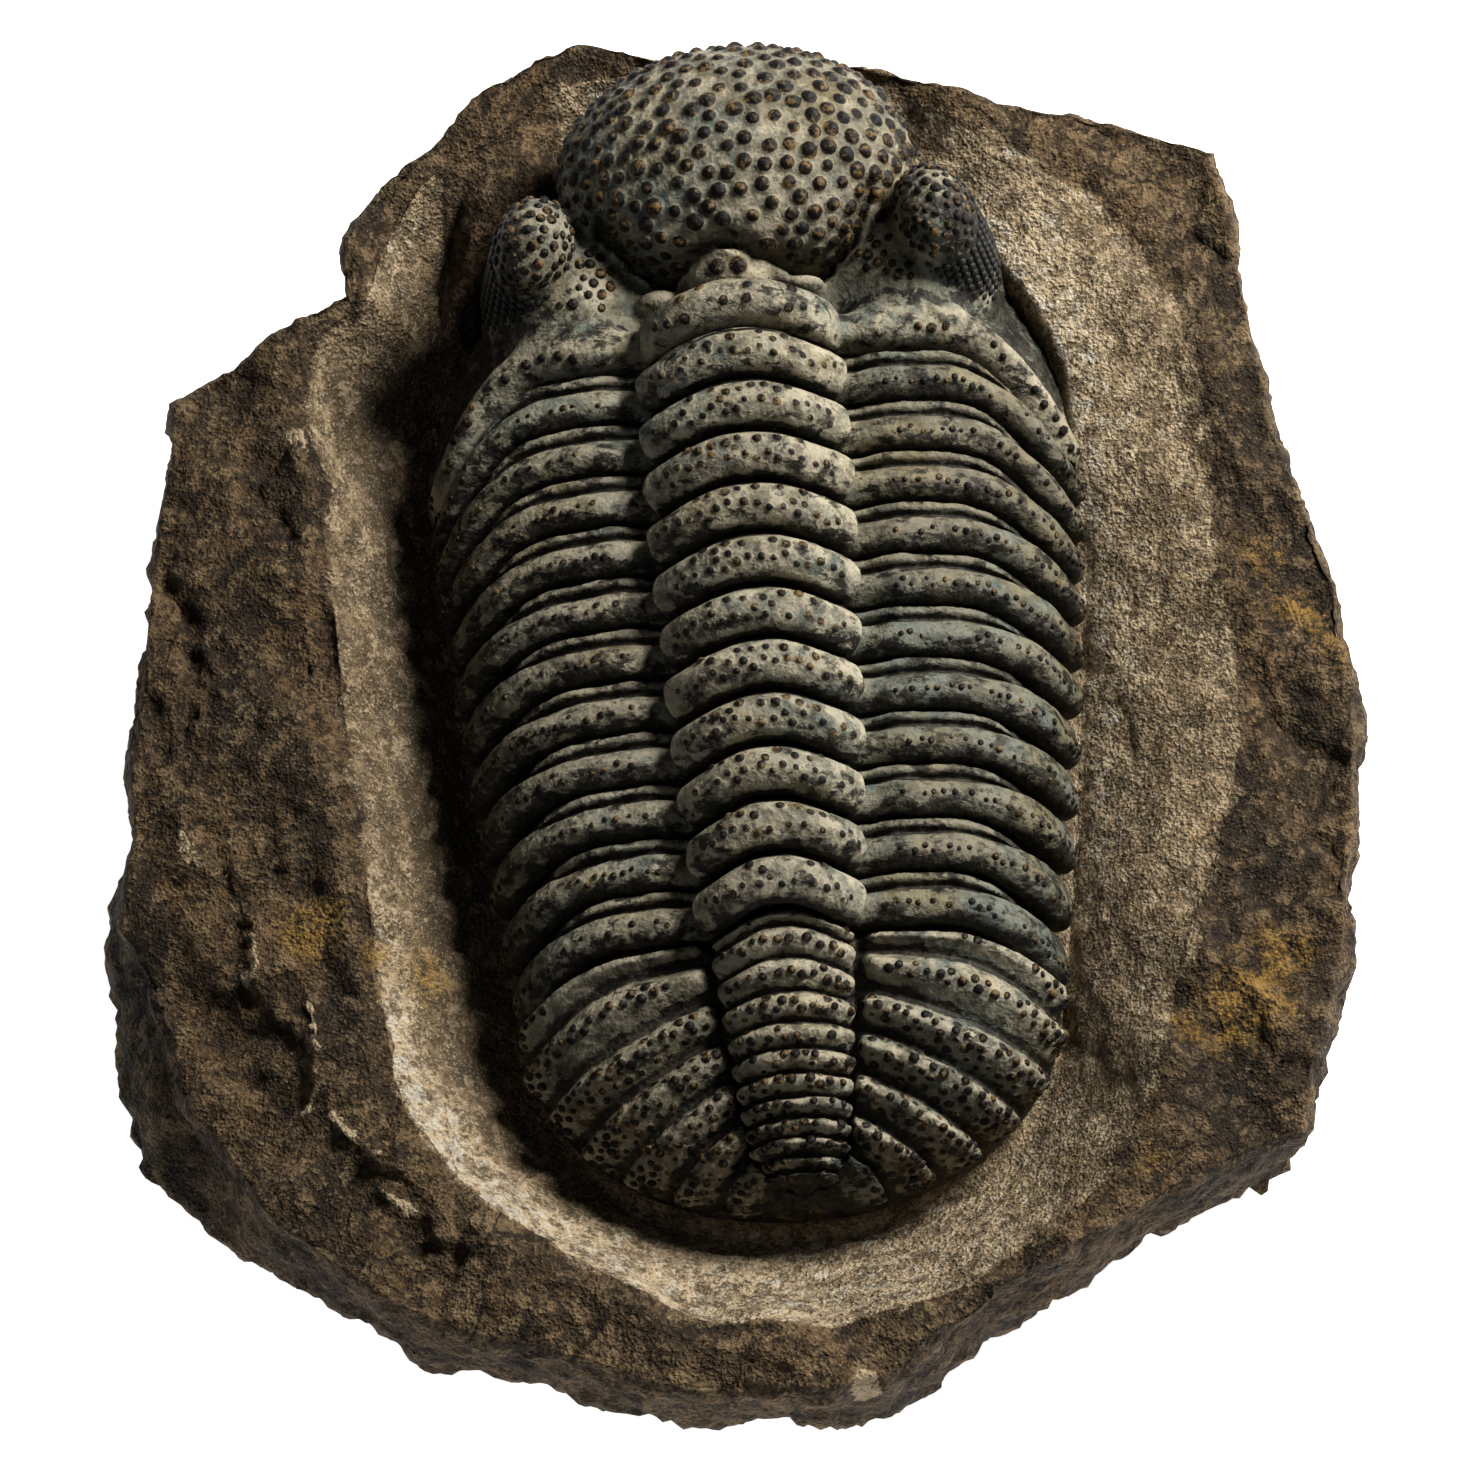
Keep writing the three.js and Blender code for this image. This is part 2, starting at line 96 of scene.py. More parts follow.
class Slot(Enum):
    """The record's material slots."""

    ROCK = "rock"
    SHELL = "shell"


class Side(Enum):
    """A side of the animal, as the sign of its own sideways axis."""

    LEFT = -1
    RIGHT = 1


def mix(start: Number, stop: Number, share: Number) -> Number:
    """Return the value a share of the way from start to stop."""
    return start + (stop - start) * share


def ease(start: float, stop: float, value: Number) -> Number:
    """Return a smooth step from 0 at start to 1 at stop."""
    share = np.clip((value - start) / (stop - start), 0.0, 1.0)
    return share * share * (3.0 - 2.0 * share)


def bell(offset: Number, width: float) -> Number:
    """Return a bell curve that is 1 where offset is 0."""
    return np.exp(-((offset / width) ** 2))


def tint(red: float, green: float, blue: float) -> Colour:
    """Return a colour given in display values from 0 to 255 as linear values."""
    linear = []
    for part in (red, green, blue):
        share = part / 255.0
        linear.append(share / 12.92 if share <= 0.04045 else ((share + 0.055) / 1.055) ** 2.4)
    return tuple(linear)


def on_block(p: Number, q: Number, z: Number) -> Array:
    """Return points of the animal's own frame in the block's layout.

    Args:
        p: Distance to the animal's right.
        q: Distance towards its head.
        z: Height above the underside of the block.

    Returns:
        An array of points with x, y and z last.
    """
    c, s = math.cos(BODY_TURN), math.sin(BODY_TURN)
    p, q, z = np.broadcast_arrays(p, q, z)
    return np.stack([BODY_PLACE[0] + p * c - q * s, BODY_PLACE[1] + p * s + q * c, z], axis=-1)


def to_animal(points: Array) -> tuple[Array, Array, Array]:
    """Return the p, q and z of points in the block's layout."""
    c, s = math.cos(BODY_TURN), math.sin(BODY_TURN)
    x, y = points[..., 0] - BODY_PLACE[0], points[..., 1] - BODY_PLACE[1]
    return x * c + y * s, y * c - x * s, points[..., 2]


def uneven(x: Array, y: Array, z: Number, wave: float, seed: int) -> Array:
    """Return a smooth uneven field between about -1 and 1.

    Args:
        x: Places along X in millimetres.
        y: Places along Y.
        z: Places along Z.
        wave: Rough size of its lumps in millimetres.
        seed: Chooses one field among many.

    Returns:
        The field's values.
    """
    rng = np.random.default_rng(seed)
    total = np.zeros(np.broadcast(x, y, z).shape)
    for _ in range(7):
        way = rng.normal(size=3)
        way *= rng.uniform(0.7, 1.5) * 2.0 * np.pi / (wave * np.linalg.norm(way))
        bend = rng.normal(size=3)
        bend *= 0.6 * 2.0 * np.pi / (wave * 2.2 * np.linalg.norm(bend))
        phases = rng.uniform(0, 2 * np.pi, 2)
        warp = 1.6 * np.sin(bend[0] * x + bend[1] * y + bend[2] * z + phases[0])
        total += np.sin(way[0] * x + way[1] * y + way[2] * z + warp + phases[1])
    return total / 3.2


def off_line(x: Array, y: Array, line: tuple) -> Array:
    """Return how far points lie, from above, from a line through some places."""
    nearest = np.full(np.broadcast(x, y).shape, 1e3)
    for (x0, y0), (x1, y1) in zip(line[:-1], line[1:]):
        run = (x1 - x0) ** 2 + (y1 - y0) ** 2
        share = np.clip(((x - x0) * (x1 - x0) + (y - y0) * (y1 - y0)) / run, 0.0, 1.0)
        nearest = np.minimum(nearest, np.hypot(x - x0 - share * (x1 - x0), y - y0 - share * (y1 - y0)))
    return nearest


# Meshes


def fine_object(name: str, points: Array, faces: list[Array], masks: dict[str, Array]) -> bpy.types.Object:
    """Make a smooth-shaded mesh object from layout points in millimetres.

    Args:
        name: The object's name.
        points: One row for each vertex.
        faces: Arrays of vertex numbers, each with one row for each face.
        masks: Values for each vertex, by attribute name.

    Returns:
        The object, linked to the scene, with its faces pointing outwards.
    """
    mesh = bpy.data.meshes.new(name)
    corners = np.concatenate([block.ravel() for block in faces])
    sizes = np.concatenate([np.full(len(block), block.shape[1]) for block in faces])
    starts = np.concatenate([[0], np.cumsum(sizes)[:-1]])
    mesh.vertices.add(len(points))
    mesh.vertices.foreach_set("co", ((points - LAYOUT_MIDDLE) * MM).astype(np.float32).ravel())
    mesh.loops.add(len(corners))
    mesh.loops.foreach_set("vertex_index", corners.astype(np.int32))
    mesh.polygons.add(len(sizes))
    mesh.polygons.foreach_set("loop_start", starts.astype(np.int32))
    mesh.update(calc_edges=True)
    for mask, values in masks.items():
        store(mesh, mask, values)
    mesh.shade_smooth()
    piece = bpy.data.objects.new(name, mesh)
    bpy.context.scene.collection.objects.link(piece)
    return piece


def store(mesh: bpy.types.Mesh, name: str, values: Array) -> None:
    """Keep one number for each vertex of a mesh as a named attribute."""
    attribute = mesh.attributes.get(name) or mesh.attributes.new(name, "FLOAT", "POINT")
    attribute.data.foreach_set("value", np.asarray(values, dtype=np.float32).ravel())


def volume_of(points: Array, faces: list[Array]) -> float:
    """Return the signed volume of a closed mesh, positive if its faces point outwards."""
    total = 0.0
    for block in faces:
        for k in range(1, block.shape[1] - 1):
            a, b, c = points[block[:, 0]], points[block[:, k]], points[block[:, k + 1]]
            total += float(np.einsum("ij,ij->i", a, np.cross(b, c)).sum()) / 6.0
    return total


def closed_loft(loops: Array) -> tuple[Array, list[Array]]:
    """Join closed loops of equal length into a closed skin with a hub at each end.

    Args:
        loops: Points with the loop first, then the place along it.

    Returns:
        The points and the faces, which point outwards.
    """
    rows, around = loops.shape[:2]
    number = np.arange(rows * around).reshape(rows, around)
    beside = np.roll(number, -1, axis=1)
    quads = np.stack([number[:-1], beside[:-1], beside[1:], number[1:]], axis=-1).reshape(-1, 4)
    hubs = [loops[0].mean(axis=0), loops[-1].mean(axis=0)]
    points = np.concatenate([loops.reshape(-1, 3), hubs])
    first = np.stack([np.full(around, rows * around), beside[0], number[0]], axis=-1)
    last = np.stack([np.full(around, rows * around + 1), number[-1], beside[-1]], axis=-1)
    faces = [quads, first, last]
    if volume_of(points, faces) < 0:
        faces = [block[:, ::-1] for block in faces]
    return points, faces


def with_hubs(mask: Array) -> Array:
    """Return a mask of a loft's loops with the values of its two hubs added."""
    return np.concatenate([mask.ravel(), [mask[0].mean(), mask[-1].mean()]])


def smooth_loop(corners: Array, steps: list[int]) -> Array:
    """Return points on a smooth closed curve through corners.

    Args:
        corners: Points that the curve passes through, in order.
        steps: How many points each stretch after a corner gets.

    Returns:
        The curve's points.
    """
    count = len(corners)
    parts = []
    for k, step in enumerate(steps):
        a, b, c, d = (corners[(k + offset) % count] for offset in (-1, 0, 1, 2))
        t = (np.arange(step) / step)[:, None]
        parts.append(
            0.5 * (2 * b + (c - a) * t + (2 * a - 5 * b + 4 * c - d) * t**2 + (3 * b - a - 3 * c + d) * t**3)
        )
    return np.concatenate(parts)


def hollowness(mesh: bpy.types.Mesh, rounds: int) -> Array:
    """Measure how far each vertex lies in a hollow of the surface, or on an edge.

    Args:
        mesh: The mesh, in metres.
        rounds: How often the result is spread to the neighbours.

    Returns:
        One number for each vertex: above 0 in hollows and below 0 on edges.
    """
    count = len(mesh.vertices)
    places = np.empty(count * 3, np.float32)
    normals = np.empty(count * 3, np.float32)
    ends = np.empty(len(mesh.edges) * 2, np.int32)
    mesh.vertices.foreach_get("co", places)
    mesh.vertex_normals.foreach_get("vector", normals)
    mesh.edges.foreach_get("vertices", ends)
    places, normals, ends = places.reshape(-1, 3), normals.reshape(-1, 3), ends.reshape(-1, 2)
    tails, heads = np.concatenate([ends[:, 0], ends[:, 1]]), np.concatenate([ends[:, 1], ends[:, 0]])
    degree = np.maximum(np.bincount(tails, minlength=count), 1)

    def around(values: Array) -> Array:
        """Return the mean of each vertex's neighbours."""
        return np.bincount(tails, weights=values[heads], minlength=count) / degree

    smooth = np.stack([around(places[:, k]) for k in range(3)], axis=-1)
    curve = np.einsum("ij,ij->i", smooth - places, normals)
    reach = around(np.linalg.norm(smooth - places, axis=1)) + 0.02 * MM
    curve = curve / (reach + 0.05 * MM)
    for _ in range(rounds):
        curve = 0.4 * curve + 0.6 * around(curve)
    return curve


# Node trees


class Value:
    """The output of a node, which plain signs can reckon with."""

    def __init__(self, nodes: "Nodes", socket: bpy.types.NodeSocket) -> None:
        """Keep the tree's writer and the output."""
        self.nodes = nodes
        self.socket = socket

    def beside(self, name: str) -> "Value":
        """Return another output of the same node."""
        return Value(self.nodes, self.nodes.pick(self.socket.node.outputs, name))

    def __add__(self, other: object) -> "Value":
        """Return the sum with a number or a value."""
        return self.nodes.math("ADD", self, other)

    def __radd__(self, other: float) -> "Value":
        """Return the sum of a number and this."""
        return self.nodes.math("ADD", other, self)

    def __sub__(self, other: object) -> "Value":
        """Return the difference from a number or a value."""
        return self.nodes.math("SUBTRACT", self, other)

    def __rsub__(self, other: float) -> "Value":
        """Return a number less this."""
        return self.nodes.math("SUBTRACT", other, self)

    def __mul__(self, other: object) -> "Value":
        """Return the product with a number or a value."""
        return self.nodes.math("MULTIPLY", self, other)

    def __truediv__(self, other: object) -> "Value":
        """Return the quotient with a number or a value."""
        return self.nodes.math("DIVIDE", self, other)

    def __rtruediv__(self, other: float) -> "Value":
        """Return a number over this."""
        return self.nodes.math("DIVIDE", other, self)


Input = Union[Value, float, str, tuple]


class Nodes:
    """Writes the nodes of one tree, one call for each node."""

    def __init__(self, tree: bpy.types.NodeTree) -> None:
        """Start writing in a node group, or in the tree of a material."""
        self.tree = tree

    @classmethod
    def group(cls, name: str, kind: TreeKind) -> "Nodes":
        """Return a writer for a new node group."""
        return cls(bpy.data.node_groups.new(name, kind.value))

    def socket(self, name: str, way: str, kind: str, default: object = None) -> None:
        """Add a named input or output to the group.

        Args:
            name: The socket's name.
            way: INPUT or OUTPUT.
            kind: Its socket type.
            default: Its value where nothing is plugged in.
        """
        item = self.tree.interface.new_socket(name=name, in_out=way, socket_type=kind)
        if default is not None:
            item.default_value = default

    def start(self) -> dict[str, Value]:
        """Add the group's input node and return its values by name."""
        node = self.tree.nodes.new("NodeGroupInput")
        return {socket.name: Value(self, socket) for socket in node.outputs if socket.name}

    def add(self, kind: str, inputs: Optional[dict] = None, give: Optional[str] = None,
            **settings: object) -> Optional[Value]:
        """Add a node.

        Args:
            kind: The node's type.
            inputs: What its inputs get, by identifier, name or number. A list plugs in several values.
            give: The output to return, or None for the first one in use.
            settings: Properties of the node.

        Returns:
            The output, or None where the node has none.
        """
        node = self.tree.nodes.new(kind)
        for key, value in settings.items():
            setattr(node, key, value)
        for key, value in (inputs or {}).items():
            socket = self.pick(node.inputs, key)
            for part in value if isinstance(value, list) else [value]:
                if isinstance(part, Value):
                    self.tree.links.new(part.socket, socket)
                else:
                    socket.default_value = part
        if not node.outputs:
            return None
        if give is not None:
            return Value(self, self.pick(node.outputs, give))
        return Value(self, next(out for out in node.outputs if out.enabled))

    @staticmethod
    def pick(sockets: object, key: Union[str, int]) -> bpy.types.NodeSocket:
        """Return the socket with this identifier, name or number."""
        if isinstance(key, int):
            return sockets[key]
        for socket in sockets:
            if socket.identifier == key:
                return socket
        return next(socket for socket in sockets if socket.name == key and socket.enabled)

    def math(self, operation: str, first: Input, second: Input) -> Value:
        """Add a Math node and return its result."""
        return self.add("ShaderNodeMath", {0: first, 1: second}, operation=operation)

    def vector(self, operation: str, first: Input, second: Input) -> Value:
        """Add a Vector Math node with two vectors and return its vector."""
        return self.add("ShaderNodeVectorMath", {0: first, 1: second}, operation=operation)

    def scaled(self, vector: Input, factor: Input) -> Value:
        """Return a vector times a number."""
        return self.add("ShaderNodeVectorMath", {0: vector, "Scale": factor}, operation="SCALE")

    def part(self, vector: Value, axis: str) -> Value:
        """Return one part of a vector."""
        return self.add("ShaderNodeSeparateXYZ", {0: vector}, give=axis)

    def step(self, value: Value, start: Input, stop: Input) -> Value:
        """Return a smooth step of a value, from 0 at start to 1 at stop."""
        ends = {"From Min": start, "From Max": stop, "To Min": 0.0, "To Max": 1.0}
        if isinstance(start, float) and start > stop:
            ends = {"From Min": stop, "From Max": start, "To Min": 1.0, "To Max": 0.0}
        return self.add("ShaderNodeMapRange", {"Value": value, **ends}, interpolation_type="SMOOTHSTEP")

    def noise(self, place: Value, scale: Input, detail: float, roughness: float = 0.55,
              distortion: float = 0.0, give: str = "Fac") -> Value:
        """Return a Noise Texture, with the scale in waves per metre."""
        values = {"Vector": place, "Scale": scale, "Detail": detail, "Roughness": roughness}
        return self.add("ShaderNodeTexNoise", {**values, "Distortion": distortion}, give=give)

    def cells(self, place: Value, scale: Input, feature: str = "F1") -> Value:
        """Return a Voronoi Texture's distance."""
        return self.add("ShaderNodeTexVoronoi", {"Vector": place, "Scale": scale}, give="Distance",
                        feature=feature)

    def level(self, place: Value, scale: Input) -> Value:
        """Return a number from 0 to 1 that is the same all over each cell of a Voronoi Texture."""
        tints = self.add("ShaderNodeTexVoronoi", {"Vector": place, "Scale": scale}, give="Color")
        return self.part(tints, "X")

    def layers(self, colour: Union[Value, Colour], coats: list[tuple[Value, Union[Value, Colour]]]) -> Value:
        """Lay tints over a colour in turn, each through its own mask."""
        for mask, coat in coats:
            below, above = ((*side, 1.0) if isinstance(side, tuple) else side for side in (colour, coat))
            colour = self.add("ShaderNodeMix", {"Factor_Float": mask, "A_Color": below, "B_Color": above},
                              give="Result_Color", data_type="RGBA")
        return colour

    def masks(self, *names: str) -> list[Value]:
        """Return numbers that the mesh keeps for each vertex, in a material."""
        return [self.add("ShaderNodeAttribute", give="Fac", attribute_name=name) for name in names]

    def field(self, name: Input, kind: str = "FLOAT") -> Value:
        """Return what the mesh keeps for each vertex under a name, in a geometry tree."""
        return self.add("GeometryNodeInputNamedAttribute", {"Name": name}, give="Attribute", data_type=kind)

    def keep(self, geometry: Value, name: str, value: Value) -> Value:
        """Keep a number for each vertex of a geometry."""
        inputs = {"Geometry": geometry, "Name": name, "Value": value}
        return self.add("GeometryNodeStoreNamedAttribute", inputs, data_type="FLOAT", domain="POINT")

    def moved(self, geometry: Value, push: Value) -> Value:
        """Move each vertex of a geometry along its normal."""
        offset = self.scaled(self.add("GeometryNodeInputNormal"), push)
        return self.add("GeometryNodeSetPosition", {"Geometry": geometry, "Offset": offset})

    def random_size(self, start: dict[str, Value], **inputs: Value) -> Value:
        """Return a random size for each wart, as far from 1 as the group's Spread."""
        ranges = {"Min_001": 1.0 - start["Spread"], "Max_001": 1.0 + start["Spread"], "Seed": start["Seed"]}
        return self.add("FunctionNodeRandomValue", ranges | inputs, give="Value_001", data_type="FLOAT")

    def copies(self, points: Value, shape: Value, facing: Value, wide: Value, tall: Value) -> Value:
        """Put a copy of a shape on every point, with its width and its height."""
        scale = self.add("ShaderNodeCombineXYZ", {"X": wide, "Y": wide, "Z": tall})
        inputs = {"Points": points, "Instance": shape, "Rotation": facing, "Scale": scale}
        return self.add("GeometryNodeInstanceOnPoints", inputs)

    def scattered(self, start: dict[str, Value]) -> Value:
        """Scatter points evenly over the part of the group's surface that its Mask names."""
        chosen = self.math("GREATER_THAN", self.field(start["Mask"]), 0.5)
        values = {"Mesh": start["Geometry"], "Distance Min": start["Spacing"], "Density Max": DENSITY_LIMIT}
        values |= {"Selection": chosen, "Seed": start["Seed"]}
        return self.add("GeometryNodeDistributePointsOnFaces", values, give="Points",
                        distribute_method="POISSON")

    def close(self, geometry: Value, material: Value) -> bpy.types.NodeTree:
        """End a geometry group with real copies, smooth faces and its material."""
        real = self.add("GeometryNodeRealizeInstances", {"Geometry": geometry})
        smooth = self.add("GeometryNodeSetShadeSmooth", {0: real})
        dressed = self.add("GeometryNodeSetMaterial", {"Geometry": smooth, "Material": material})
        self.add("NodeGroupOutput", {0: dressed})
        return self.tree


def run_tree(piece: bpy.types.Object, tree: bpy.types.NodeTree, values: dict[str, object]) -> None:
    """Run a geometry tree on a piece and keep the result as its plain mesh.

    Args:
        piece: The object that is changed.
        tree: The geometry tree.
        values: What its inputs get, by name.
    """
    modifier = piece.modifiers.new(tree.name, "NODES")
    modifier.node_group = tree
    for item in tree.interface.items_tree:
        if item.in_out == "INPUT" and item.name in values:
            modifier[item.identifier] = values[item.name]
    depsgraph = bpy.context.evaluated_depsgraph_get()
    evaluated = piece.evaluated_get(depsgraph)
    mesh = bpy.data.meshes.new_from_object(evaluated, preserve_all_data_layers=True, depsgraph=depsgraph)
    piece.modifiers.remove(modifier)
    spare = piece.data
    piece.data = mesh
    bpy.data.meshes.remove(spare)
    mesh.name = piece.name


def geometry_group(name: str, mask: str = "", **numbers: float) -> tuple[Nodes, dict[str, Value]]:
    """Start a geometry group with a mesh, a material and a seed.

    Args:
        name: The group's name.
        mask: The attribute that says where it works, or nothing for no such input.
        numbers: Its number inputs and their usual values.

    Returns:
        The writer and the group's inputs by name.
    """
    nodes = Nodes.group(name, TreeKind.GEOMETRY)
    nodes.socket("Geometry", "INPUT", "NodeSocketGeometry")
    nodes.socket("Material", "INPUT", "NodeSocketMaterial")
    nodes.socket("Seed", "INPUT", "NodeSocketInt", 1)
    for label, value in numbers.items():
        nodes.socket(label.replace("_", " "), "INPUT", "NodeSocketFloat", value)
    if mask:
        nodes.socket("Mask", "INPUT", "NodeSocketString", mask)
    nodes.socket("Geometry", "OUTPUT", "NodeSocketGeometry")
    return nodes, nodes.start()


def swelling_warts() -> bpy.types.NodeTree:
    """Build the tree that swells the shell's own surface into large warts with marked tops."""
    nodes, start = geometry_group("swelling_warts", "warts", Spacing=0.002, Radius=0.001, Height=0.0006,
                                  Spread=0.2)
    points = nodes.scattered(start)
    place = nodes.add("GeometryNodeInputPosition")
    nearest = nodes.add("GeometryNodeSampleNearest", {"Geometry": points, "Sample Position": place})
    centre = nodes.add("GeometryNodeSampleIndex", {"Geometry": points, "Value": place, "Index": nearest},
                       data_type="FLOAT_VECTOR")
    away = nodes.add("ShaderNodeVectorMath", {0: place, 1: centre}, give="Value", operation="DISTANCE")
    size = nodes.random_size(start, ID=nearest)
    share = nodes.math("MINIMUM", away / (start["Radius"] * size), 1.0)
    dome = nodes.math("POWER", 1.0 - share * share, DOME_FULLNESS)
    lifted = nodes.keep(start["Geometry"], "lift", dome * start["Height"] * size)
    marked = nodes.keep(lifted, "wart", nodes.math("MAXIMUM", nodes.field("wart"), dome))
    push = nodes.field("lift")
    return nodes.close(nodes.moved(marked, push), start["Material"])


def seated_warts() -> bpy.types.NodeTree:
    """Build the tree that seats small domed warts on the shell, each a few dozen faces."""
    nodes, start = geometry_group("seated_warts", "small_warts", Spacing=0.001, Radius=0.0004, Height=0.6,
                                  Spread=0.25)
    points = nodes.scattered(start)
    ball = nodes.add("GeometryNodeMeshUVSphere", {"Segments": 8, "Rings": 5, "Radius": 1.0}, give="Mesh")
    crown = nodes.step(nodes.part(nodes.add("GeometryNodeInputPosition"), "Z"), -0.2, 0.75)
    wide = start["Radius"] * nodes.random_size(start)
    warts = nodes.copies(points, nodes.keep(ball, "wart", crown), points.beside("Rotation"), wide,
                         wide * start["Height"])
    joined = nodes.add("GeometryNodeJoinGeometry", {0: [start["Geometry"], warts]})
    return nodes.close(joined, start["Material"])


def lens_rows() -> bpy.types.NodeTree:
    """Build the tree that puts a bulging lens on every vertex of an eye's net."""
    nodes, start = geometry_group("lens_rows", Radius=0.0005, Bulge=0.7)
    points = nodes.add("GeometryNodeMeshToPoints", {"Mesh": start["Geometry"]})
    outward = nodes.field("outward", "FLOAT_VECTOR")
    facing = nodes.add("FunctionNodeAlignRotationToVector", {"Vector": outward}, axis="Z")
    ball = nodes.add("GeometryNodeMeshUVSphere", {"Segments": 8, "Rings": 6, "Radius": 1.0}, give="Mesh")
    lenses = nodes.copies(points, ball, facing, start["Radius"], start["Radius"] * start["Bulge"])
    return nodes.close(lenses, start["Material"])


def weathered_surface() -> bpy.types.NodeTree:
    """Build the tree that roughens a surface along its normals, as far as its own mask says."""
    nodes, start = geometry_group("weathered_surface", "rough", Depth=0.001, Lump_Scale=90.0,
                                  Grain_Scale=420.0, Grain_Share=0.3, Ledge_Share=0.4)
    lump_scale, grain_scale = start["Lump Scale"], start["Grain Scale"]
    shift = nodes.scaled((0.013, 0.007, 0.003), start["Seed"])
    place = nodes.vector("ADD", nodes.add("GeometryNodeInputPosition"), shift)
    lumps = nodes.noise(place, lump_scale, 5.0, 0.55, 0.3)
    facets = nodes.cells(place, lump_scale)
    chips = nodes.cells(place, grain_scale * 0.7)
    grain = nodes.noise(place, grain_scale, 4.0, 0.6) - (chips - 0.35) * 0.6
    warp = nodes.vector("SUBTRACT", nodes.noise(place, lump_scale, 3.0, 0.5, give="Color"), MIDDLE_GREY)
    bent = nodes.vector("ADD", place, nodes.scaled(warp, 0.6 / lump_scale))
    ledge = ((0.35 - facets) + (nodes.level(bent, lump_scale) - 0.5)) * start["Ledge Share"]
    fine = (grain - 0.5) * start["Grain Share"]
    total = (lumps - 0.5) * 2.0 + ledge + fine
    push = total * nodes.field(start["Mask"]) * start["Depth"]
    return nodes.close(nodes.moved(start["Geometry"], push), start["Material"])


# Shared shader groups. Scales of patterns are in waves or cells per metre.


def shader_group(name: str, results: tuple[str, ...], **numbers: float) -> tuple[Nodes, dict[str, Value]]:
    """Start a shader group that reads object coordinates.

    Args:
        name: The group's name.
        results: Its outputs, all numbers.
        numbers: Its number inputs and their usual values.

    Returns:
        The writer and the group's inputs by name.
    """
    nodes = Nodes.group(name, TreeKind.SHADER)
    nodes.socket("Place", "INPUT", "NodeSocketVector")
    for label, value in numbers.items():
        nodes.socket(label.replace("_", " "), "INPUT", "NodeSocketFloat", value)
    for label in results:
        nodes.socket(label, "OUTPUT", "NodeSocketFloat")
    return nodes, nodes.start()


def stone_grain() -> bpy.types.NodeTree:
    """Build the group for fine stone: its height, its change of tone, its specks and its facets."""
    nodes, start = shader_group("stone_grain", ("Height", "Tone", "Specks", "Facets"), Grains=900.0,
                                Specks=1400.0, Speck_Share=0.25)
    place, grains, specks = start["Place"], start["Grains"], start["Specks"]
    coarse = nodes.noise(place, grains, 3.0, 0.62)
    broad = nodes.noise(place, grains * 0.28, 3.0)
    pits = nodes.cells(place, specks)
    height = coarse * 0.8 + broad * 0.5 + pits * 0.25
    tone = coarse * 0.6 + broad * 0.4
    chosen = nodes.step(nodes.noise(place, specks * 0.31, 2.0), 0.52, 0.6)
    dots = nodes.step(pits, 0.3, 0.12) * chosen * start["Speck Share"]
    bent = nodes.vector("ADD", place, nodes.scaled((0.0016, 0.0012, 0.0014), coarse - 0.5))
    facets = nodes.level(bent, specks * 0.3)
    nodes.add("NodeGroupOutput", {0: height, 1: tone, 2: dots, 3: facets})
    return nodes.tree


def ragged_patches() -> bpy.types.NodeTree:
    """Build the group for patches with torn edges, which grow with a chance from 0 to 1."""
    nodes, start = shader_group("ragged_patches", ("Mask",), Patches=120.0, Chance=0.5, Edge=0.03)
    level = nodes.noise(start["Place"], start["Patches"], 5.0, 0.7) * 0.8 + 0.1 + start["Chance"] - 1.0
    mask = nodes.step(level, start["Edge"] * -1.0, start["Edge"])
    nodes.add("NodeGroupOutput", {0: mask})
    return nodes.tree


@dataclass(frozen=True)
class Finish:
    """What the finishes share: the two shader groups, the start of a material and its shader.

    Grains and specks are counted in a metre, and the bump's depth is in metres.
    """

    grain: bpy.types.NodeTree
    patches: bpy.types.NodeTree
    grain_scale: float = 1500.0
    speck_scale: float = 2300.0
    speck_share: float = 0.9
    bump: float = 0.75
    bump_depth: float = 0.3 * MM

    def begin(self, name: str) -> tuple[Nodes, Value, bpy.types.Material]:
        """Start a material and return its writer, its object coordinates and itself."""
        material = bpy.data.materials.new(name)
        material.use_nodes = True
        material.node_tree.nodes.clear()
        nodes = Nodes(material.node_tree)
        return nodes, nodes.add("ShaderNodeTexCoord", give="Object"), material

    def grains(self, place: Value) -> list[Value]:
        """Place the grain group and return its height, tone, specks and facets."""
        inputs = {"Place": place, "Grains": self.grain_scale, "Specks": self.speck_scale}
        inputs["Speck Share"] = self.speck_share
        height = place.nodes.add("ShaderNodeGroup", inputs, node_tree=self.grain)
        return [height] + [height.beside(name) for name in ("Tone", "Specks", "Facets")]

    def torn(self, place: Value, size: float, chance: Input, edge: float) -> Value:
        """Place the patch group and return its mask."""
        inputs = {"Place": place, "Patches": size, "Chance": chance, "Edge": edge}
        return place.nodes.add("ShaderNodeGroup", inputs, node_tree=self.patches)

    def finish(self, colour: Value, rough: Input, height: Value, **constants: Union[float, tuple]) -> None:
        """End a material with its Principled shader.

        Args:
            colour: Its base colour.
            rough: Its roughness.
            height: The height that its bump reads.
            constants: Plain values for the shader's own sockets.
        """
        nodes = colour.nodes
        relief = {"Height": height, "Strength": self.bump, "Distance": self.bump_depth}
        values = {"Base Color": colour, "Roughness": rough, "Normal": nodes.add("ShaderNodeBump", relief)}
        values |= {name.replace("_", " "): value for name, value in constants.items()}
        nodes.add("ShaderNodeOutputMaterial", {"Surface": nodes.add("ShaderNodeBsdfPrincipled", values)})


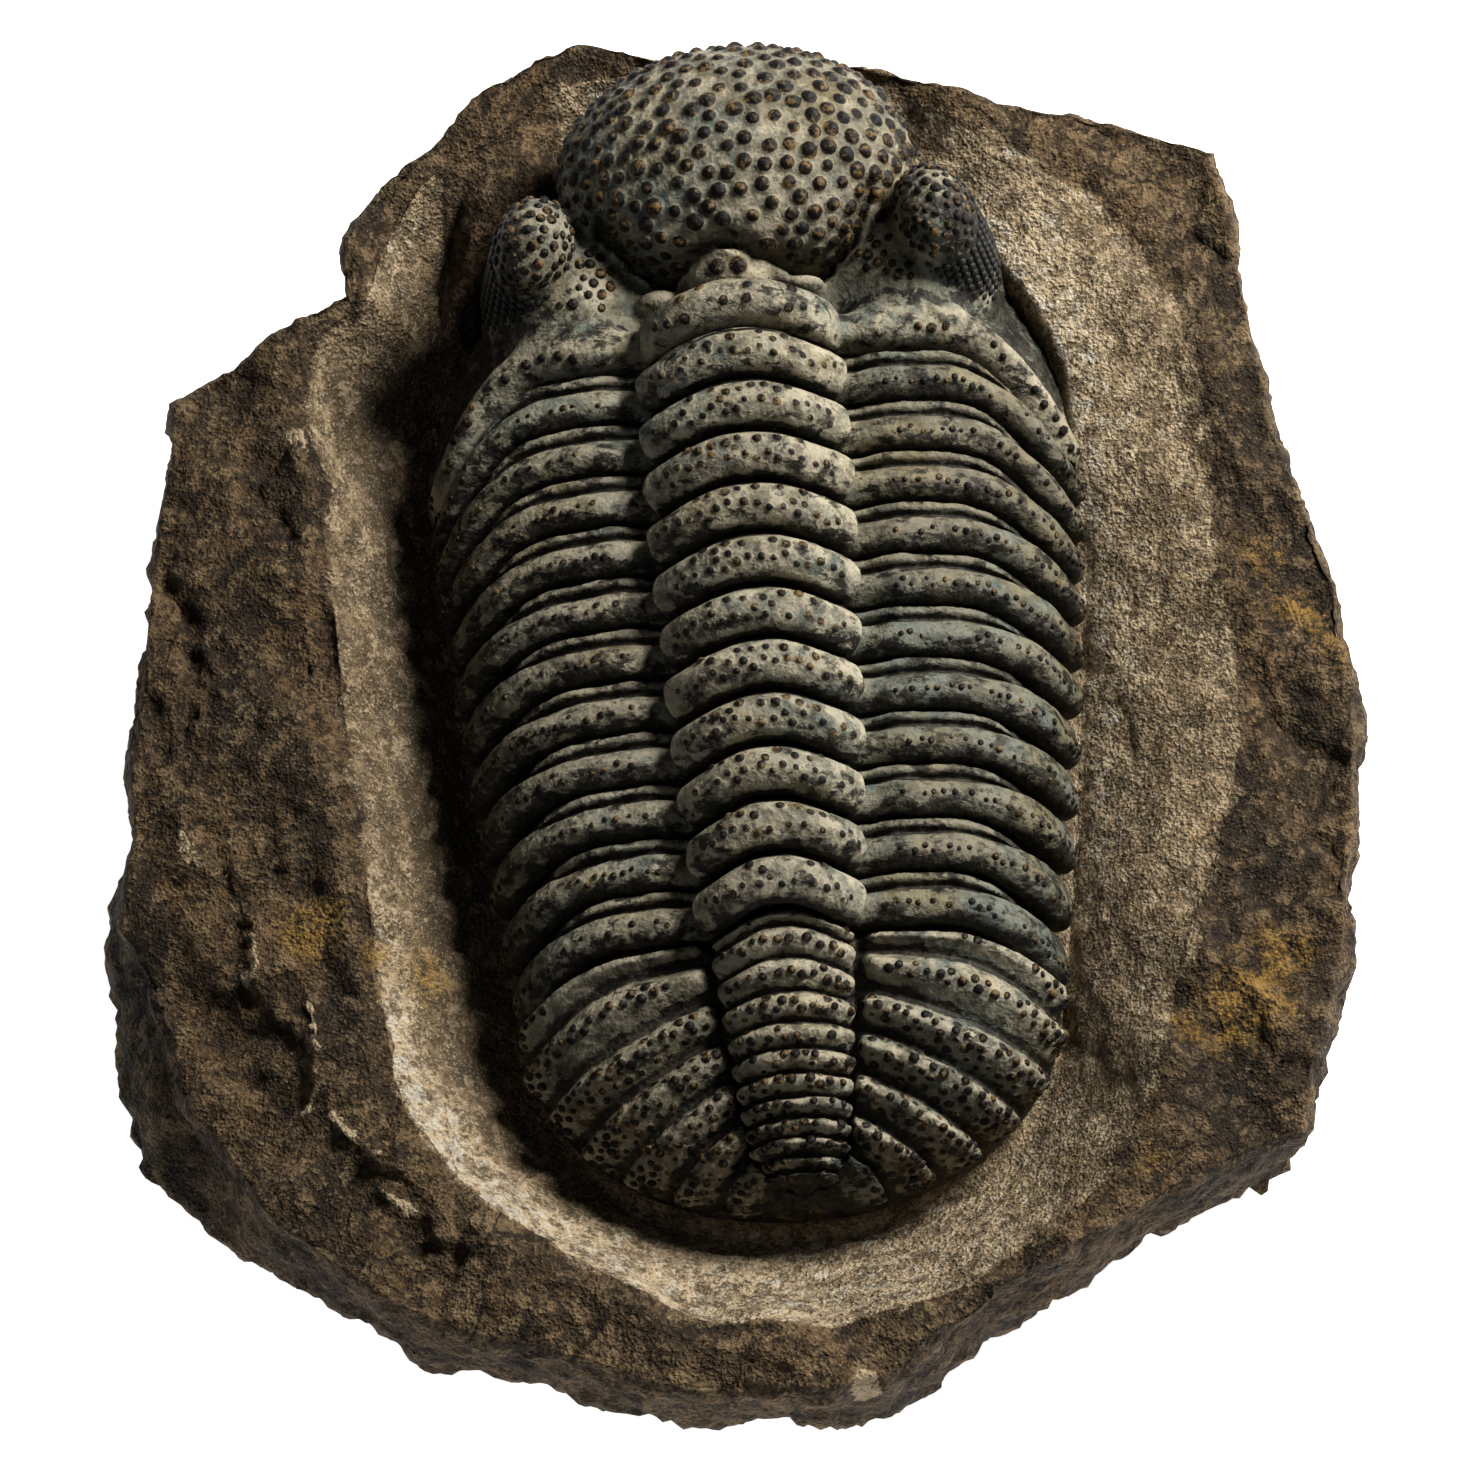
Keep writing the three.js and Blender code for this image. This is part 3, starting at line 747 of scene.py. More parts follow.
@dataclass(frozen=True)
class ShellFinish(Finish):
    """Calcite shell: rubbed grey-tan on its high places, and paler on the left flank of the body rings as
    painted light; black where the old skin is left, and black as painted shade in its low places and
    hollows.
    """

    rubbed: Colour = tint(177, 168, 145)
    ground: Colour = tint(100, 96, 81)
    cool: Colour = tint(78, 91, 87)
    olive: Colour = tint(104, 90, 50)
    old_skin_and_painted_shade: Colour = tint(22, 21, 17)
    worn_skin: Colour = tint(58, 54, 44)
    cap: Colour = tint(15, 12, 9)
    cap_rim: Colour = tint(108, 86, 54)

    def build(self) -> bpy.types.Material:
        """Return the shell's material."""
        nodes, place, material = self.begin("calcite_shell")
        height, tone, specks, facets = self.grains(place)
        hollow, low, patina, wart, worn = nodes.masks("hollow", "low", "patina", "wart", "worn")
        high = nodes.step(hollow + low * 0.6, 0.4, -0.2)
        drift = nodes.step(nodes.noise(place, 60.0, 4.0), 0.42, 0.6)
        warm = nodes.step(nodes.noise(place, 110.0, 4.0, 0.6), 0.5, 0.64)
        patchy = high * nodes.step(nodes.noise(place, 380.0, 4.0, 0.65), 0.31, 0.54)
        shade = nodes.step(tone, 0.6, 0.4) * (facets + 0.25)
        # Black skin is likelier in low places and hollows: partly the dark skin left in the creases, partly
        # painted shade there.
        chance = patina + low * 0.3 + nodes.step(hollow, 0.1, 0.8) * 0.25 + (facets - 0.5) * 0.09
        along_ring = nodes.vector("MULTIPLY", place, (0.55, 1.0, 0.8))
        skin = self.torn(along_ring, 640.0, chance, 0.05)
        old = nodes.layers(self.old_skin_and_painted_shade, [(nodes.step(tone, 0.42, 0.62), self.worn_skin)])
        cap = nodes.step(wart + (tone - 0.5) * 0.7, 0.14, 0.34)
        crust = nodes.layers(self.cap, [(nodes.step(tone, 0.5, 0.62), self.cap_rim)])
        colour = nodes.layers(self.ground, [
            (drift, self.cool),
            (warm * 0.6, self.olive),
            # The worn mask is real rubbing of the crests, and on the body rings also painted light on the
            # left flank and painted shade at its outer end.
            (patchy * worn, self.rubbed),
            (shade * 0.7, self.worn_skin),
            (skin, old),
            (cap, crust),
            (specks, self.old_skin_and_painted_shade),
        ])
        rough = 0.7 - nodes.math("MAXIMUM", skin, cap) * 0.12
        self.finish(colour, rough, height + skin * 0.4, IOR=1.45, Specular_IOR_Level=0.25)
        return material


@dataclass(frozen=True)
class LensFinish(Finish):
    """The lenses of the eyes: near black calcite with a soft gloss."""

    grain_scale: float = 2200.0
    speck_scale: float = 3000.0
    speck_share: float = 0.5
    bump: float = 0.4
    bump_depth: float = 0.2 * MM
    dark: Colour = tint(20, 20, 19)
    worn: Colour = tint(58, 58, 50)

    def build(self) -> bpy.types.Material:
        """Return the lens material."""
        nodes, place, material = self.begin("eye_lens")
        height, tone, specks, _ = self.grains(place)
        rubbed = self.torn(place, 260.0, 0.42, 0.04)
        colour = nodes.layers(self.dark, [(rubbed, self.worn), (specks, self.dark)])
        self.finish(colour, 0.45 + tone * 0.2, height, IOR=1.5, Specular_IOR_Level=0.3)
        return material


@dataclass(frozen=True)
class RockFinish(Finish):
    """Limestone: dark brown and weathered outside, pale tan where it was cut away."""

    grain_scale: float = 1700.0
    speck_scale: float = 2600.0
    speck_share: float = 0.8
    bump: float = 1.0
    bump_depth: float = 0.9 * MM
    brown: Colour = tint(86, 67, 44)
    dark: Colour = tint(31, 24, 16)
    ash: Colour = tint(136, 115, 86)
    pale: Colour = tint(178, 159, 129)
    sand: Colour = tint(124, 105, 78)
    shade: Colour = tint(72, 60, 42)
    rust: Colour = tint(152, 118, 56)
    chalk: Colour = tint(210, 203, 188)

    def build(self) -> bpy.types.Material:
        """Return the rock's material."""
        nodes, place, material = self.begin("limestone")
        height, tone, specks, facets = self.grains(place)
        streaked = nodes.vector("MULTIPLY", place, (1.0, 0.5, 1.0))
        names = ("hollow", "prepared", "paleness", "rusty", "chipped")
        hollow, prepared, paleness, rusty, chipped = nodes.masks(*names)
        crack, plate = self.broken(place)
        salt = nodes.step(nodes.noise(place, 3400.0, 1.0, 0.7), 0.56, 0.7)
        mottled = paleness + (nodes.noise(streaked, 330.0, 4.0, 0.72) - 0.5) * 2.3
        drift = nodes.step(nodes.noise(streaked, 90.0, 5.0, 0.72), 0.38, 0.6)
        streak = mottled + (plate - 0.5) * 0.35
        grit = nodes.step(tone, 0.56, 0.4) * 0.85
        low_facets = nodes.step(facets, 0.35, 0.1)
        outside = nodes.layers(self.dark, [
            (drift, self.brown),
            (nodes.step(streak, 0.2, 1.3) * 0.9, self.ash),
            (salt * 0.42, self.ash),
            (nodes.step(hollow, 0.05, -0.5) * 0.4, self.ash),
            (nodes.step(facets, 0.7, 0.9) * 0.35, self.ash),
            (low_facets * 0.5, self.dark),
            (grit, self.dark),
            (crack * 0.85, self.dark),
        ])
        inside = nodes.layers(self.shade, [
            (nodes.step(mottled, 0.0, 0.55), self.sand),
            (nodes.step(mottled, 0.5, 1.1), self.pale),
            (nodes.step(facets, 0.65, 0.9) * 0.45, self.pale),
            (low_facets * 0.6, self.shade),
            (grit, self.shade),
            (salt * 0.28, self.chalk),
            (self.torn(place, 620.0, paleness * 0.2 + 0.25, 0.04) * 0.5, self.chalk),
        ])
        stain = self.torn(place, 330.0, rusty, 0.14) * nodes.step(tone, 0.4, 0.6)
        colour = nodes.layers(outside, [
            (self.torn(place, 620.0, prepared * 0.7 + 0.15, 0.07), inside),
            (stain * 0.75, self.rust),
            (self.torn(place, 330.0, chipped, 0.03) * 0.8, self.pale),
            # Hollows of the rock's surface are darkened: painted shade.
            (nodes.step(hollow, 0.25, 0.9) * 0.75, self.dark),
            (specks, self.dark),
        ])
        relief = height + plate * 0.55 * (1.0 - prepared)
        self.finish(colour, 0.95 - tone * 0.12, relief, IOR=1.45, Specular_IOR_Level=0.3)
        return material

    @staticmethod
    def broken(place: Value) -> tuple[Value, Value]:
        """Return masks of the thin cracks and of the plates' levels on a broken face."""
        nodes = place.nodes
        bent = nodes.scaled((0.009, 0.011, 0.008), nodes.noise(place, 240.0, 3.5) - 0.5)
        slabs = nodes.vector("MULTIPLY", nodes.vector("ADD", place, bent), (1.5, 0.7, 1.0))
        edge = nodes.cells(slabs, 80.0, "F2") - nodes.cells(slabs, 80.0)
        here = nodes.step(nodes.noise(place, 75.0, 1.5), 0.48, 0.58)
        return nodes.step(edge, 0.05, 0.014) * here, nodes.level(slabs, 210.0)


@dataclass(frozen=True)
class FloorFinish(Finish):
    """A plain pale floor that glows a little, as in a light tent."""

    bump: float = 0.05
    bump_depth: float = 0.2 * MM
    pale: Colour = (0.93, 0.93, 0.93)
    grey: Colour = (0.86, 0.86, 0.85)

    def build(self) -> bpy.types.Material:
        """Return the floor's material."""
        nodes, place, material = self.begin("pale_floor")
        tone = nodes.noise(place, 90.0, 1.0)
        colour = nodes.layers(self.pale, [(tone * 0.04, self.grey)])
        white = (1.0, 1.0, 1.0, 1.0)
        self.finish(colour, 0.9, tone, Emission_Strength=1.0, Emission_Color=white)
        return material


# The plan of the animal's shell


def straight(share: Number) -> Number:
    """Return the sweep of a line that runs straight out to the margin."""
    return share


def pleura_sweep(share: Number) -> Number:
    """Return the backward turn of a flank: none as far as its bend, then more and more."""
    bend, stop = 0.25, 0.9
    return ease(bend, stop, share)


@dataclass(frozen=True)
class Station:
    """One or more cross-sections of the shell's smooth arch, in millimetres.

    A column says where a point is across the arch: 0 on the crest, 1 in the furrow beside the axis and
    2 at the margin, with a minus sign on the left.
    """

    axis: Number
    half: Number
    furrow_z: Number
    rise: Number
    crest_q: Number
    furrow_q: Number
    margin_q: Number
    sweep: Callable[[Number], Number] = straight

    def profile(self, column: Number) -> tuple[Array, Array]:
        """Return how far out and how high the arch is at a column of its right-hand side."""
        inner = np.clip(column, 0.0, 1.0)
        crown = self.furrow_z + self.rise * (1 - inner**AXIS_SQUARENESS) ** AXIS_FULLNESS
        angle = np.clip(column - 1, 0.0, 1.0) * np.pi / 2
        across = np.sin(angle) ** (2 / PLEURA_SQUARENESS)
        up = np.clip(np.cos(angle), 0.0, 1.0) ** (2 / PLEURA_SQUARENESS)
        p = np.where(column <= 1, self.axis * inner, mix(self.axis, self.half, across))
        z = np.where(column <= 1, crown, mix(MARGIN_Z, self.furrow_z, up))
        return p, z

    def point(self, column: Array, push: Number, forward: Number = 0.0) -> Array:
        """Return layout points of the arch.

        Args:
            column: Signed columns.
            push: How far out along the arch's normal each point lies.
            forward: How far it is moved towards the head.

        Returns:
            The points, with x, y and z last.
        """
        c = np.abs(column)
        p, z = self.profile(c)
        p_in, z_in = self.profile(np.maximum(c - NORMAL_STEP, 0.0))
        p_out, z_out = self.profile(np.minimum(c + NORMAL_STEP, 2.0))
        length = np.hypot(p_out - p_in, z_out - z_in) + 1e-9
        crest = c < 1e-6
        normal_p = np.where(crest, 0.0, (z_in - z_out) / length)
        normal_z = np.where(crest, 1.0, (p_out - p_in) / length)
        swept = mix(self.furrow_q, self.margin_q, self.sweep(np.clip(c - 1, 0.0, 1.0)))
        q = mix(self.crest_q, swept, ease(0.08, 1.0, c)) + forward
        return on_block(np.sign(column) * (p + push * normal_p), q, z + push * normal_z)

    def even_columns(self, count: int) -> Array:
        """Return signed columns from margin to margin, evenly spaced along the arch."""
        fine = np.linspace(0.0, 2.0, 1201)
        p, z = self.profile(fine)
        run = np.concatenate([[0.0], np.cumsum(np.hypot(np.diff(p), np.diff(z)))])
        half = np.interp(np.linspace(0.0, run[-1], count // 2 + 1), run, fine)
        return np.concatenate([-half[:0:-1], half])


@dataclass(frozen=True)
class RingPlan:
    """The sizes that the eleven body rings share. Tapers grow with the number of rings in front."""

    first_q: float = 29.7
    pitch: float = 5.53
    neck_q: float = 35.6
    axis_half: float = 10.3
    axis_taper: float = 0.025
    axis_rise: float = 6.2
    axis_fall: float = 0.06
    half: float = 32.9
    taper: float = 0.25
    taper_growth: float = 0.033
    furrow_fall: float = 0.018
    crest_lead: float = 1.5
    swept: float = 3.6
    swept_growth: float = 0.105
    least_swept: float = 8.0

    def station(self, number: int) -> Station:
        """Return the station of a ring, 0 at the back of the head and 11 before the tail."""
        behind = max(number - 1, 0)
        q = self.neck_q if number == 0 else self.first_q - self.pitch * behind
        return Station(
            axis=self.axis_half - self.axis_taper * behind**2,
            half=self.half - self.taper * behind - self.taper_growth * behind**2,
            furrow_z=FURROW_Z - self.furrow_fall * behind**2,
            rise=self.axis_rise - self.axis_fall * behind,
            crest_q=q + self.crest_lead,
            furrow_q=q,
            margin_q=q - self.swept - self.swept_growth * (number - self.least_swept) ** 2,
            sweep=pleura_sweep,
        )

    def tip_spacing(self, number: int) -> float:
        """Return how much longer than on the axis the ring is at its tips."""
        return 1 + 2 * self.swept_growth * (number - self.least_swept) / self.pitch


RINGS = RingPlan()

# The great front lobe of the head, as a middle and half-axes
FRONT_LOBE = ((0.8, 54.4, 38.4), (18.4, 13.7, 12.3))


@dataclass
class ShellPiece:
    """A piece of the shell, with the masks that its finish reads."""

    finish: bpy.types.Material
    warts: bpy.types.NodeTree
    small_warts: bpy.types.NodeTree
    surface: bpy.types.NodeTree

    def weather(self, piece: bpy.types.Object, seed: int, depth: float, grain: float, ledges: float,
                lump_scale: float = 240.0, grain_scale: float = 850.0) -> None:
        """Roughen a piece's surface.

        Args:
            piece: The piece.
            seed: Chooses one pattern among many.
            depth: How deep the relief is, in millimetres.
            grain: The share of its fine grain.
            ledges: The share of its ledges.
            lump_scale: Lumps in a metre.
            grain_scale: Grains in a metre.
        """
        run_tree(piece, self.surface, {
            "Material": self.finish, "Seed": seed, "Depth": depth * MM, "Lump Scale": lump_scale,
            "Grain Scale": grain_scale, "Grain Share": grain, "Ledge Share": ledges,
        })

    def raise_warts(self, piece: bpy.types.Object, mask: str, seed: int, spacing: float, radius: float,
                    height: float = 0.0, spread: float = 0.2) -> None:
        """Raise warts on a piece where a mask says, swollen out of the shell, or seated if small.

        Args:
            piece: The piece.
            mask: The mask, and small_warts for seated ones.
            seed: Chooses one pattern among many.
            spacing: The least distance between two, in millimetres.
            radius: Their usual radius in millimetres.
            height: How high the swollen ones are, in millimetres.
            spread: How far the size of the swollen ones varies.
        """
        values = {"Material": self.finish, "Seed": seed, "Mask": mask, "Spacing": spacing * MM}
        values["Radius"] = radius * MM
        if mask == "small_warts":
            run_tree(piece, self.small_warts, values)
        else:
            run_tree(piece, self.warts, values | {"Height": height * MM, "Spread": spread})

    def settle(self, piece: bpy.types.Object, nodes: list[str], slot: Slot) -> None:
        """Measure a piece's hollows, tie it to the frame and report it.

        Args:
            piece: The finished piece.
            nodes: The CAD nodes that it stands for.
            slot: Its material slot; it is not used.
        """
        store(piece.data, "hollow", hollowness(piece.data, 3))
        for spare in ("warts", "more_warts", "small_warts", "rough", "lift"):
            if piece.data.attributes.get(spare):
                piece.data.attributes.remove(piece.data.attributes[spare])
        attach(piece, "root")
        if nodes:
            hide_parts(*nodes)
        triangles = sum(len(face.vertices) - 2 for face in piece.data.polygons)
        LOG.info("%s: %d triangles", piece.name, triangles)


@dataclass
class BodyRing(ShellPiece):
    """One ring of the body, from its front flange under the ring before to its rolled rear edge."""

    number: int = 1
    columns: int = 400

    # Cuts through a ring, from its front lip over its top and back underneath:
    # how far forward of its middle, and how far out from the smooth arch.
    axis_cut: tuple = (
        (3.05, -1.75), (3.05, -1.5), (2.85, -1.2), (2.6, -0.95), (2.4, -0.6), (2.15, -0.1), (1.85, 0.5),
        (1.4, 1.05), (0.55, 1.4), (-0.6, 1.35), (-1.45, 1.0), (-2.05, 0.5), (-2.38, -0.2), (-2.4, -1.2),
        (-1.95, -1.75), (0.0, -1.9), (2.0, -1.9),
    )
    flank_cut: tuple = (
        (3.05, -1.8), (3.05, -1.2), (2.88, -0.4), (2.55, 0.15), (1.95, 0.2), (1.5, -0.55), (1.2, -0.2),
        (0.85, 0.4), (0.2, 0.9), (-0.6, 1.15), (-1.4, 0.95), (-2.0, 0.45), (-2.35, -0.3), (-2.38, -1.3),
        (-1.9, -1.75), (0.0, -1.9), (2.0, -1.9),
    )
    steps: tuple = (1, 2, 3, 3, 3, 3, 3, 4, 5, 5, 4, 4, 3, 2, 1, 1, 1)
    front_band: tuple = (1, 2, 3, 4)
    band_gone: float = -1.25
    band_widens: tuple = (0, 0, 0, 0, 0, 1.3, 1.35, 1.3, 0.8, 0.3)
    furrow_dip: float = 1.0
    furrow_width: float = 0.055
    boss_rise: float = 0.35

    def build(self) -> bpy.types.Object:
        """Return the finished ring."""
        station = RINGS.station(self.number)
        column = station.even_columns(self.columns)[:, None]
        c = np.abs(column)
        flank = ease(0.84, 1.06, c)
        fade = ease(1.35, 1.8, c)
        flank_cut = np.array(self.flank_cut)[None, :, :].repeat(len(column), axis=0)
        for k in self.front_band:
            flank_cut[:, k, 1:] = mix(flank_cut[:, k, 1:], self.band_gone, fade)
        flank_cut[:, 5, 1:] = mix(flank_cut[:, 5, 1:], -1.0, fade)
        for k, wider in enumerate(self.band_widens):
            flank_cut[:, k, :1] += wider * ease(1.3, 1.75, c)
        axis_cut = np.array(self.axis_cut)[None, :, :]
        corners = mix(axis_cut, flank_cut, flank[:, :, None])
        cut = np.stack([smooth_loop(corner, list(self.steps)) for corner in corners])
        forward, push = cut[..., 0], cut[..., 1]
        top = ease(-1.7, -0.9, push)
        push = push - top * self.furrow_dip * bell(c - 1, self.furrow_width)
        push = push + top * self.boss_rise * (bell(c - 0.92, 0.04) + 0.6 * bell(c - 1.1, 0.05))
        x = station.point(column, 0.0)[..., 0]
        waver = 0.14 * uneven(x + 0 * forward, forward * 2 + self.number * 9, 0.0, 7.0, 5)
        tip = np.clip((c - 1.9) / 0.1, 0.0, 1.0)
        rounded = np.sqrt(np.clip(1 - 0.97 * tip**2, 0.0, 1.0))
        length = mix(1.0, RINGS.tip_spacing(self.number), RINGS.station(self.number).sweep(
            np.clip(c - 1, 0.0, 1.0)))
        narrow = mix(1.0, 0.92, ease(1.75, 2.0, c)) * mix(1.0, rounded, 0.8)
        push = mix(-1.0, push + waver * top, mix(1.0, rounded, 0.9))
        points, faces = closed_loft(station.point(column, push, forward * length * narrow))
        piece = fine_object(f"ring_{self.number:02d}_shell", points, faces, self.masks(column, cut))
        self.dress(piece)
        return piece

    @staticmethod
    def masks(column: Array, cut: Array) -> dict[str, Array]:
        """Return where the ring is low, old-skinned and warty, with painted shade in its low places and on
        its rear slope, and painted light on its left flank.

        Args:
            column: Signed columns, one row each.
            cut: Forward and push of the smooth cut at each column.

        Returns:
            Masks by name, for each vertex.
        """
        c = np.abs(column)
        forward, flat_push = cut[..., 0], cut[..., 1]
        on_top = flat_push > -0.4
        upper = (np.abs(forward - 0.95) < 0.5) & on_top & (c < 0.6)
        lower = (np.abs(forward + 0.75) < 0.65) & on_top & (c < 0.84)
        row = (np.abs(forward + 0.75) < mix(0.36, 0.7, ease(1.5, 1.8, c))) & on_top & (c > 1.08) & (c < 1.97)
        flank = ease(0.95, 1.1, c)
        # The low places of the cut, between the rings, get black skin in the finish: partly real dark skin,
        # partly painted shade.
        low = ease(0.35, -0.8, flat_push)
        rear = ease(-0.4, -1.6, forward)
        # More dark skin on the flanks and their tips; the rear terms add painted shade on the ring's rear
        # slope, strongest beside the axial furrow.
        patina = mix(0.38, 0.43, flank) + 0.08 * ease(1.45, 1.95, c) + 0.07 * rear
        patina = patina + 0.05 * bell(c - 0.7, 0.2) + 0.05 * rear * bell(c - 1.2, 0.22)
        # Worn: the crests are rubbed pale; the left flank is made paler as painted light, and its outer end
        # darker as painted shade.
        worn = mix(0.84, 0.25 + 0.33 * (column < 0), flank) - (0.16 + 0.2 * (column < 0)) * ease(1.3, 1.9, c)
        skin = {"low": low, "patina": patina, "wart": 0 * forward, "worn": worn + 0 * forward}
        spots = {"warts": upper, "more_warts": lower, "small_warts": row}
        spots["rough"] = 0.6 + 0.5 * flank + 0 * forward
        return {name: with_hubs(values.astype(float)) for name, values in (skin | spots).items()}

    def dress(self, piece: bpy.types.Object) -> None:
        """Weather the ring, raise its warts and tie it to the frame."""
        self.weather(piece, self.number, 0.2, 0.75, 0.4)
        self.raise_warts(piece, "warts", self.number, 1.25, 0.56, 0.3)
        self.raise_warts(piece, "more_warts", 30 + self.number, 1.15, 0.46, 0.26)
        self.raise_warts(piece, "small_warts", 60 + self.number, 0.92, 0.33)
        self.settle(piece, [f"body_ring_{self.number:02d}"], Slot.SHELL)


@dataclass
class TailShield(ShellPiece):
    """The tail: ringed axis, fanned ribs and a smooth border, all one shell."""

    rows: int = 330
    columns: int = 250
    front_q: float = -28.55
    axis_end_q: float = -52.6
    axis_half: float = 6.8
    axis_taper: float = 0.55
    axis_share: float = 0.7
    axis_rise: float = 4.4
    axis_end_rise: float = 0.55
    half: float = 26.6
    corner_q: float = -33.3
    tip_q: float = -53.8
    furrow_z: float = 37.5
    end_furrow_z: float = 29.8
    fan: float = 0.75
    seam: float = 0.06
    rings: float = 12.0
    ribs: float = 7.0
    crowding: float = 1.2
    ring_crowding: float = 0.62
    thickness: float = 1.5

    def station(self, along: Array) -> Station:
        """Return stations from the front edge, 0, round to the middle of the rear edge, 1."""
        angle = along**self.fan * np.pi / 2
        half = self.half * np.cos(angle) + self.seam
        q = mix(self.front_q, self.axis_end_q, 1 - (1 - along) ** 1.3)
        rise = self.axis_rise * mix(1.0, self.axis_end_rise, along)
        axis = np.minimum(self.axis_half * mix(1.0, self.axis_taper, along), self.axis_share * half)
        return Station(
            axis=axis,
            half=half,
            furrow_z=mix(self.furrow_z, self.end_furrow_z, along**1.6),
            rise=rise * np.minimum(1.0, half / self.axis_half),
            crest_q=q + mix(1.5, 0.2, ease(0.0, 0.35, along)),
            furrow_q=q,
            margin_q=mix(self.corner_q, self.tip_q, np.sin(angle)),
            sweep=lambda share: mix(pleura_sweep(share), np.sin(share * np.pi / 2), ease(-0.1, 0.22, along)),
        )

    def with_axis_end(self, top: Array, relief: Array, phase: Array,
                      share: Array) -> tuple[Array, Array, Array]:
        """Carry the ringed axis on to a blunt end, over the rows that close up behind it.

        Args:
            top: The tail's upper surface.
            relief: Its rings and ribs.
            phase: The number of rings in front of each point.
            share: How far round each row is.

        Returns:
            The surface, the relief and the phase with the end added.
        """
        p, q, z = to_animal(top)
        run = np.clip((self.front_q + 0.3 - q) / (self.front_q - self.axis_end_q), 0.0, 1.0)
        along = 1 - (1 - run) ** (1 / 1.3)
        row = along ** (1 / self.crowding)
        own_phase = self.rings * mix(row**2, row, self.ring_crowding)
        side = np.clip(np.abs(p) / (self.axis_half * mix(1.0, self.axis_taper, along)), 0.0, 1.0)
        round_over = (1 - side**AXIS_SQUARENESS) ** AXIS_FULLNESS
        wave = 1.3 * np.abs(np.cos(np.pi * own_phase)) ** 0.7 * ease(0.0, 0.3, round_over)
        crown = mix(self.furrow_z, self.end_furrow_z, along**1.6) - 0.6 + wave
        crown = crown + self.axis_rise * mix(1.0, self.axis_end_rise, along) * round_over
        crown = crown - 14.0 * ease(self.axis_end_q + 1.2, self.axis_end_q - 1.2, q) - 9.0 * (side >= 1)
        raised = (crown > z) & (share > 0.6)
        lifted = np.concatenate([top[..., :2], np.where(raised, crown, z)[..., None]], axis=-1)
        phase = np.where(raised, own_phase, phase + 0.5 * (share > 0.9))
        return lifted, np.where(raised, wave, relief), phase

    def build(self) -> bpy.types.Object:
        """Return the finished tail."""
        share = np.linspace(0.0, 1.0, self.rows)[:, None]
        along = share**self.crowding
        station = self.station(along)
        column = self.station(0.12).even_columns(self.columns)[None, :]
        c = np.abs(column)
        fade = 1 - ease(0.93, 1.0, share)
        ring_phase = self.rings * mix(share**2, share, self.ring_crowding)
        rib_phase = self.ribs * share
        ring_wave = np.abs(np.cos(np.pi * ring_phase)) ** 0.7
        rib_wave = np.abs(np.cos(np.pi * rib_phase)) ** 1.5
        on_axis = 1 - ease(0.9, 1.0, c)
        on_flank = ease(1.0, 1.05, c) * (1 - ease(1.8, 1.95, c))
        relief = 1.4 * ring_wave * on_axis * (1 - ease(0.8, 0.87, share)) + 2.0 * rib_wave * on_flank * fade
        relief = relief - 0.5 * bell(c - 1, 0.04) * fade + 0.25 * ease(1.0, 1.4, c)
        relief = relief - 0.7 * ease(0.035, 0.0, share)
        top = station.point(column + 0 * share, relief)
        top, relief, ring_phase = self.with_axis_end(top, relief, ring_phase + 0 * column, share)
        under_columns = column[0, :: len(column[0]) // 14][::-1][None, 1:-1]
        under = station.point(under_columns + 0 * share, -self.thickness)
        lip = station.point(column + 0 * share, np.full_like(relief, -1.4), 1.0)
        loops = np.concatenate([top, under], axis=1)
        front = np.concatenate([lip[:1], station.point(under_columns + 0 * share, -1.7, 1.0)[:1]], axis=1)
        points, faces = closed_loft(np.concatenate([front, loops]))
        depth = np.concatenate([relief[:1] - 2, relief])
        # The low places between the tail's rings and ribs get black skin in the finish: partly real dark
        # skin, partly painted shade.
        low = ease(1.0, 0.0, depth) * (1 - 0.5 * ease(1.8, 1.95, c))
        border = ease(1.6, 1.9, c) + 0 * depth
        share_rows = np.concatenate([share[:1], share])
        rearward = ease(0.4, 0.9, share_rows)
        end = ease(0.88, 0.95, share_rows)
        patina = 0.39 + 0.08 * border + 0.09 * rearward + 0.15 * end + 0 * low
        ring_line = np.abs(np.concatenate([ring_phase[:1], ring_phase]) - np.round(
            np.concatenate([ring_phase[:1], ring_phase]))) < 0.2
        rib_rows = np.concatenate([rib_phase[:1], rib_phase])
        rib_line = np.abs(rib_rows - np.round(rib_rows)) < mix(0.14, 0.3, ease(1.5, 1.8, c))
        spots = (rib_line & (c > 1.08) & (c < 1.9) & (share_rows < 0.93)) | (ring_line & (c < 0.86))
        spots = spots & (share_rows > 0.01)
        masks = {"low": low, "patina": patina, "wart": 0 * low, "small_warts": spots.astype(float)}
        between = (share_rows > 0.25) & (c > 0.15) & (c < 1.93) & ~spots & (depth > 0.5)
        masks["warts"] = between.astype(float)
        masks["rough"] = 1.1 + 1.1 * rearward + 0 * low
        masks["worn"] = 0.85 - 0.7 * end + 0 * low
        width = under_columns.shape[1]
        padded = {}
        for name, values in masks.items():
            tail = np.full((len(values), width), 0.0 if "warts" in name else 0.8)
            padded[name] = with_hubs(np.concatenate([values + 0 * depth, tail], axis=1))
        piece = fine_object("tail_shell", points, faces, padded)
        self.weather(piece, 40, 0.2, 0.75, 0.4)
        self.raise_warts(piece, "warts", 89, 1.25, 0.5, 0.2, spread=0.4)
        self.raise_warts(piece, "small_warts", 90, 1.05, 0.46)
        self.settle(piece, ["tail_shield"], Slot.SHELL)
        return piece


# The head is one solid, worked out as a field that is negative inside it


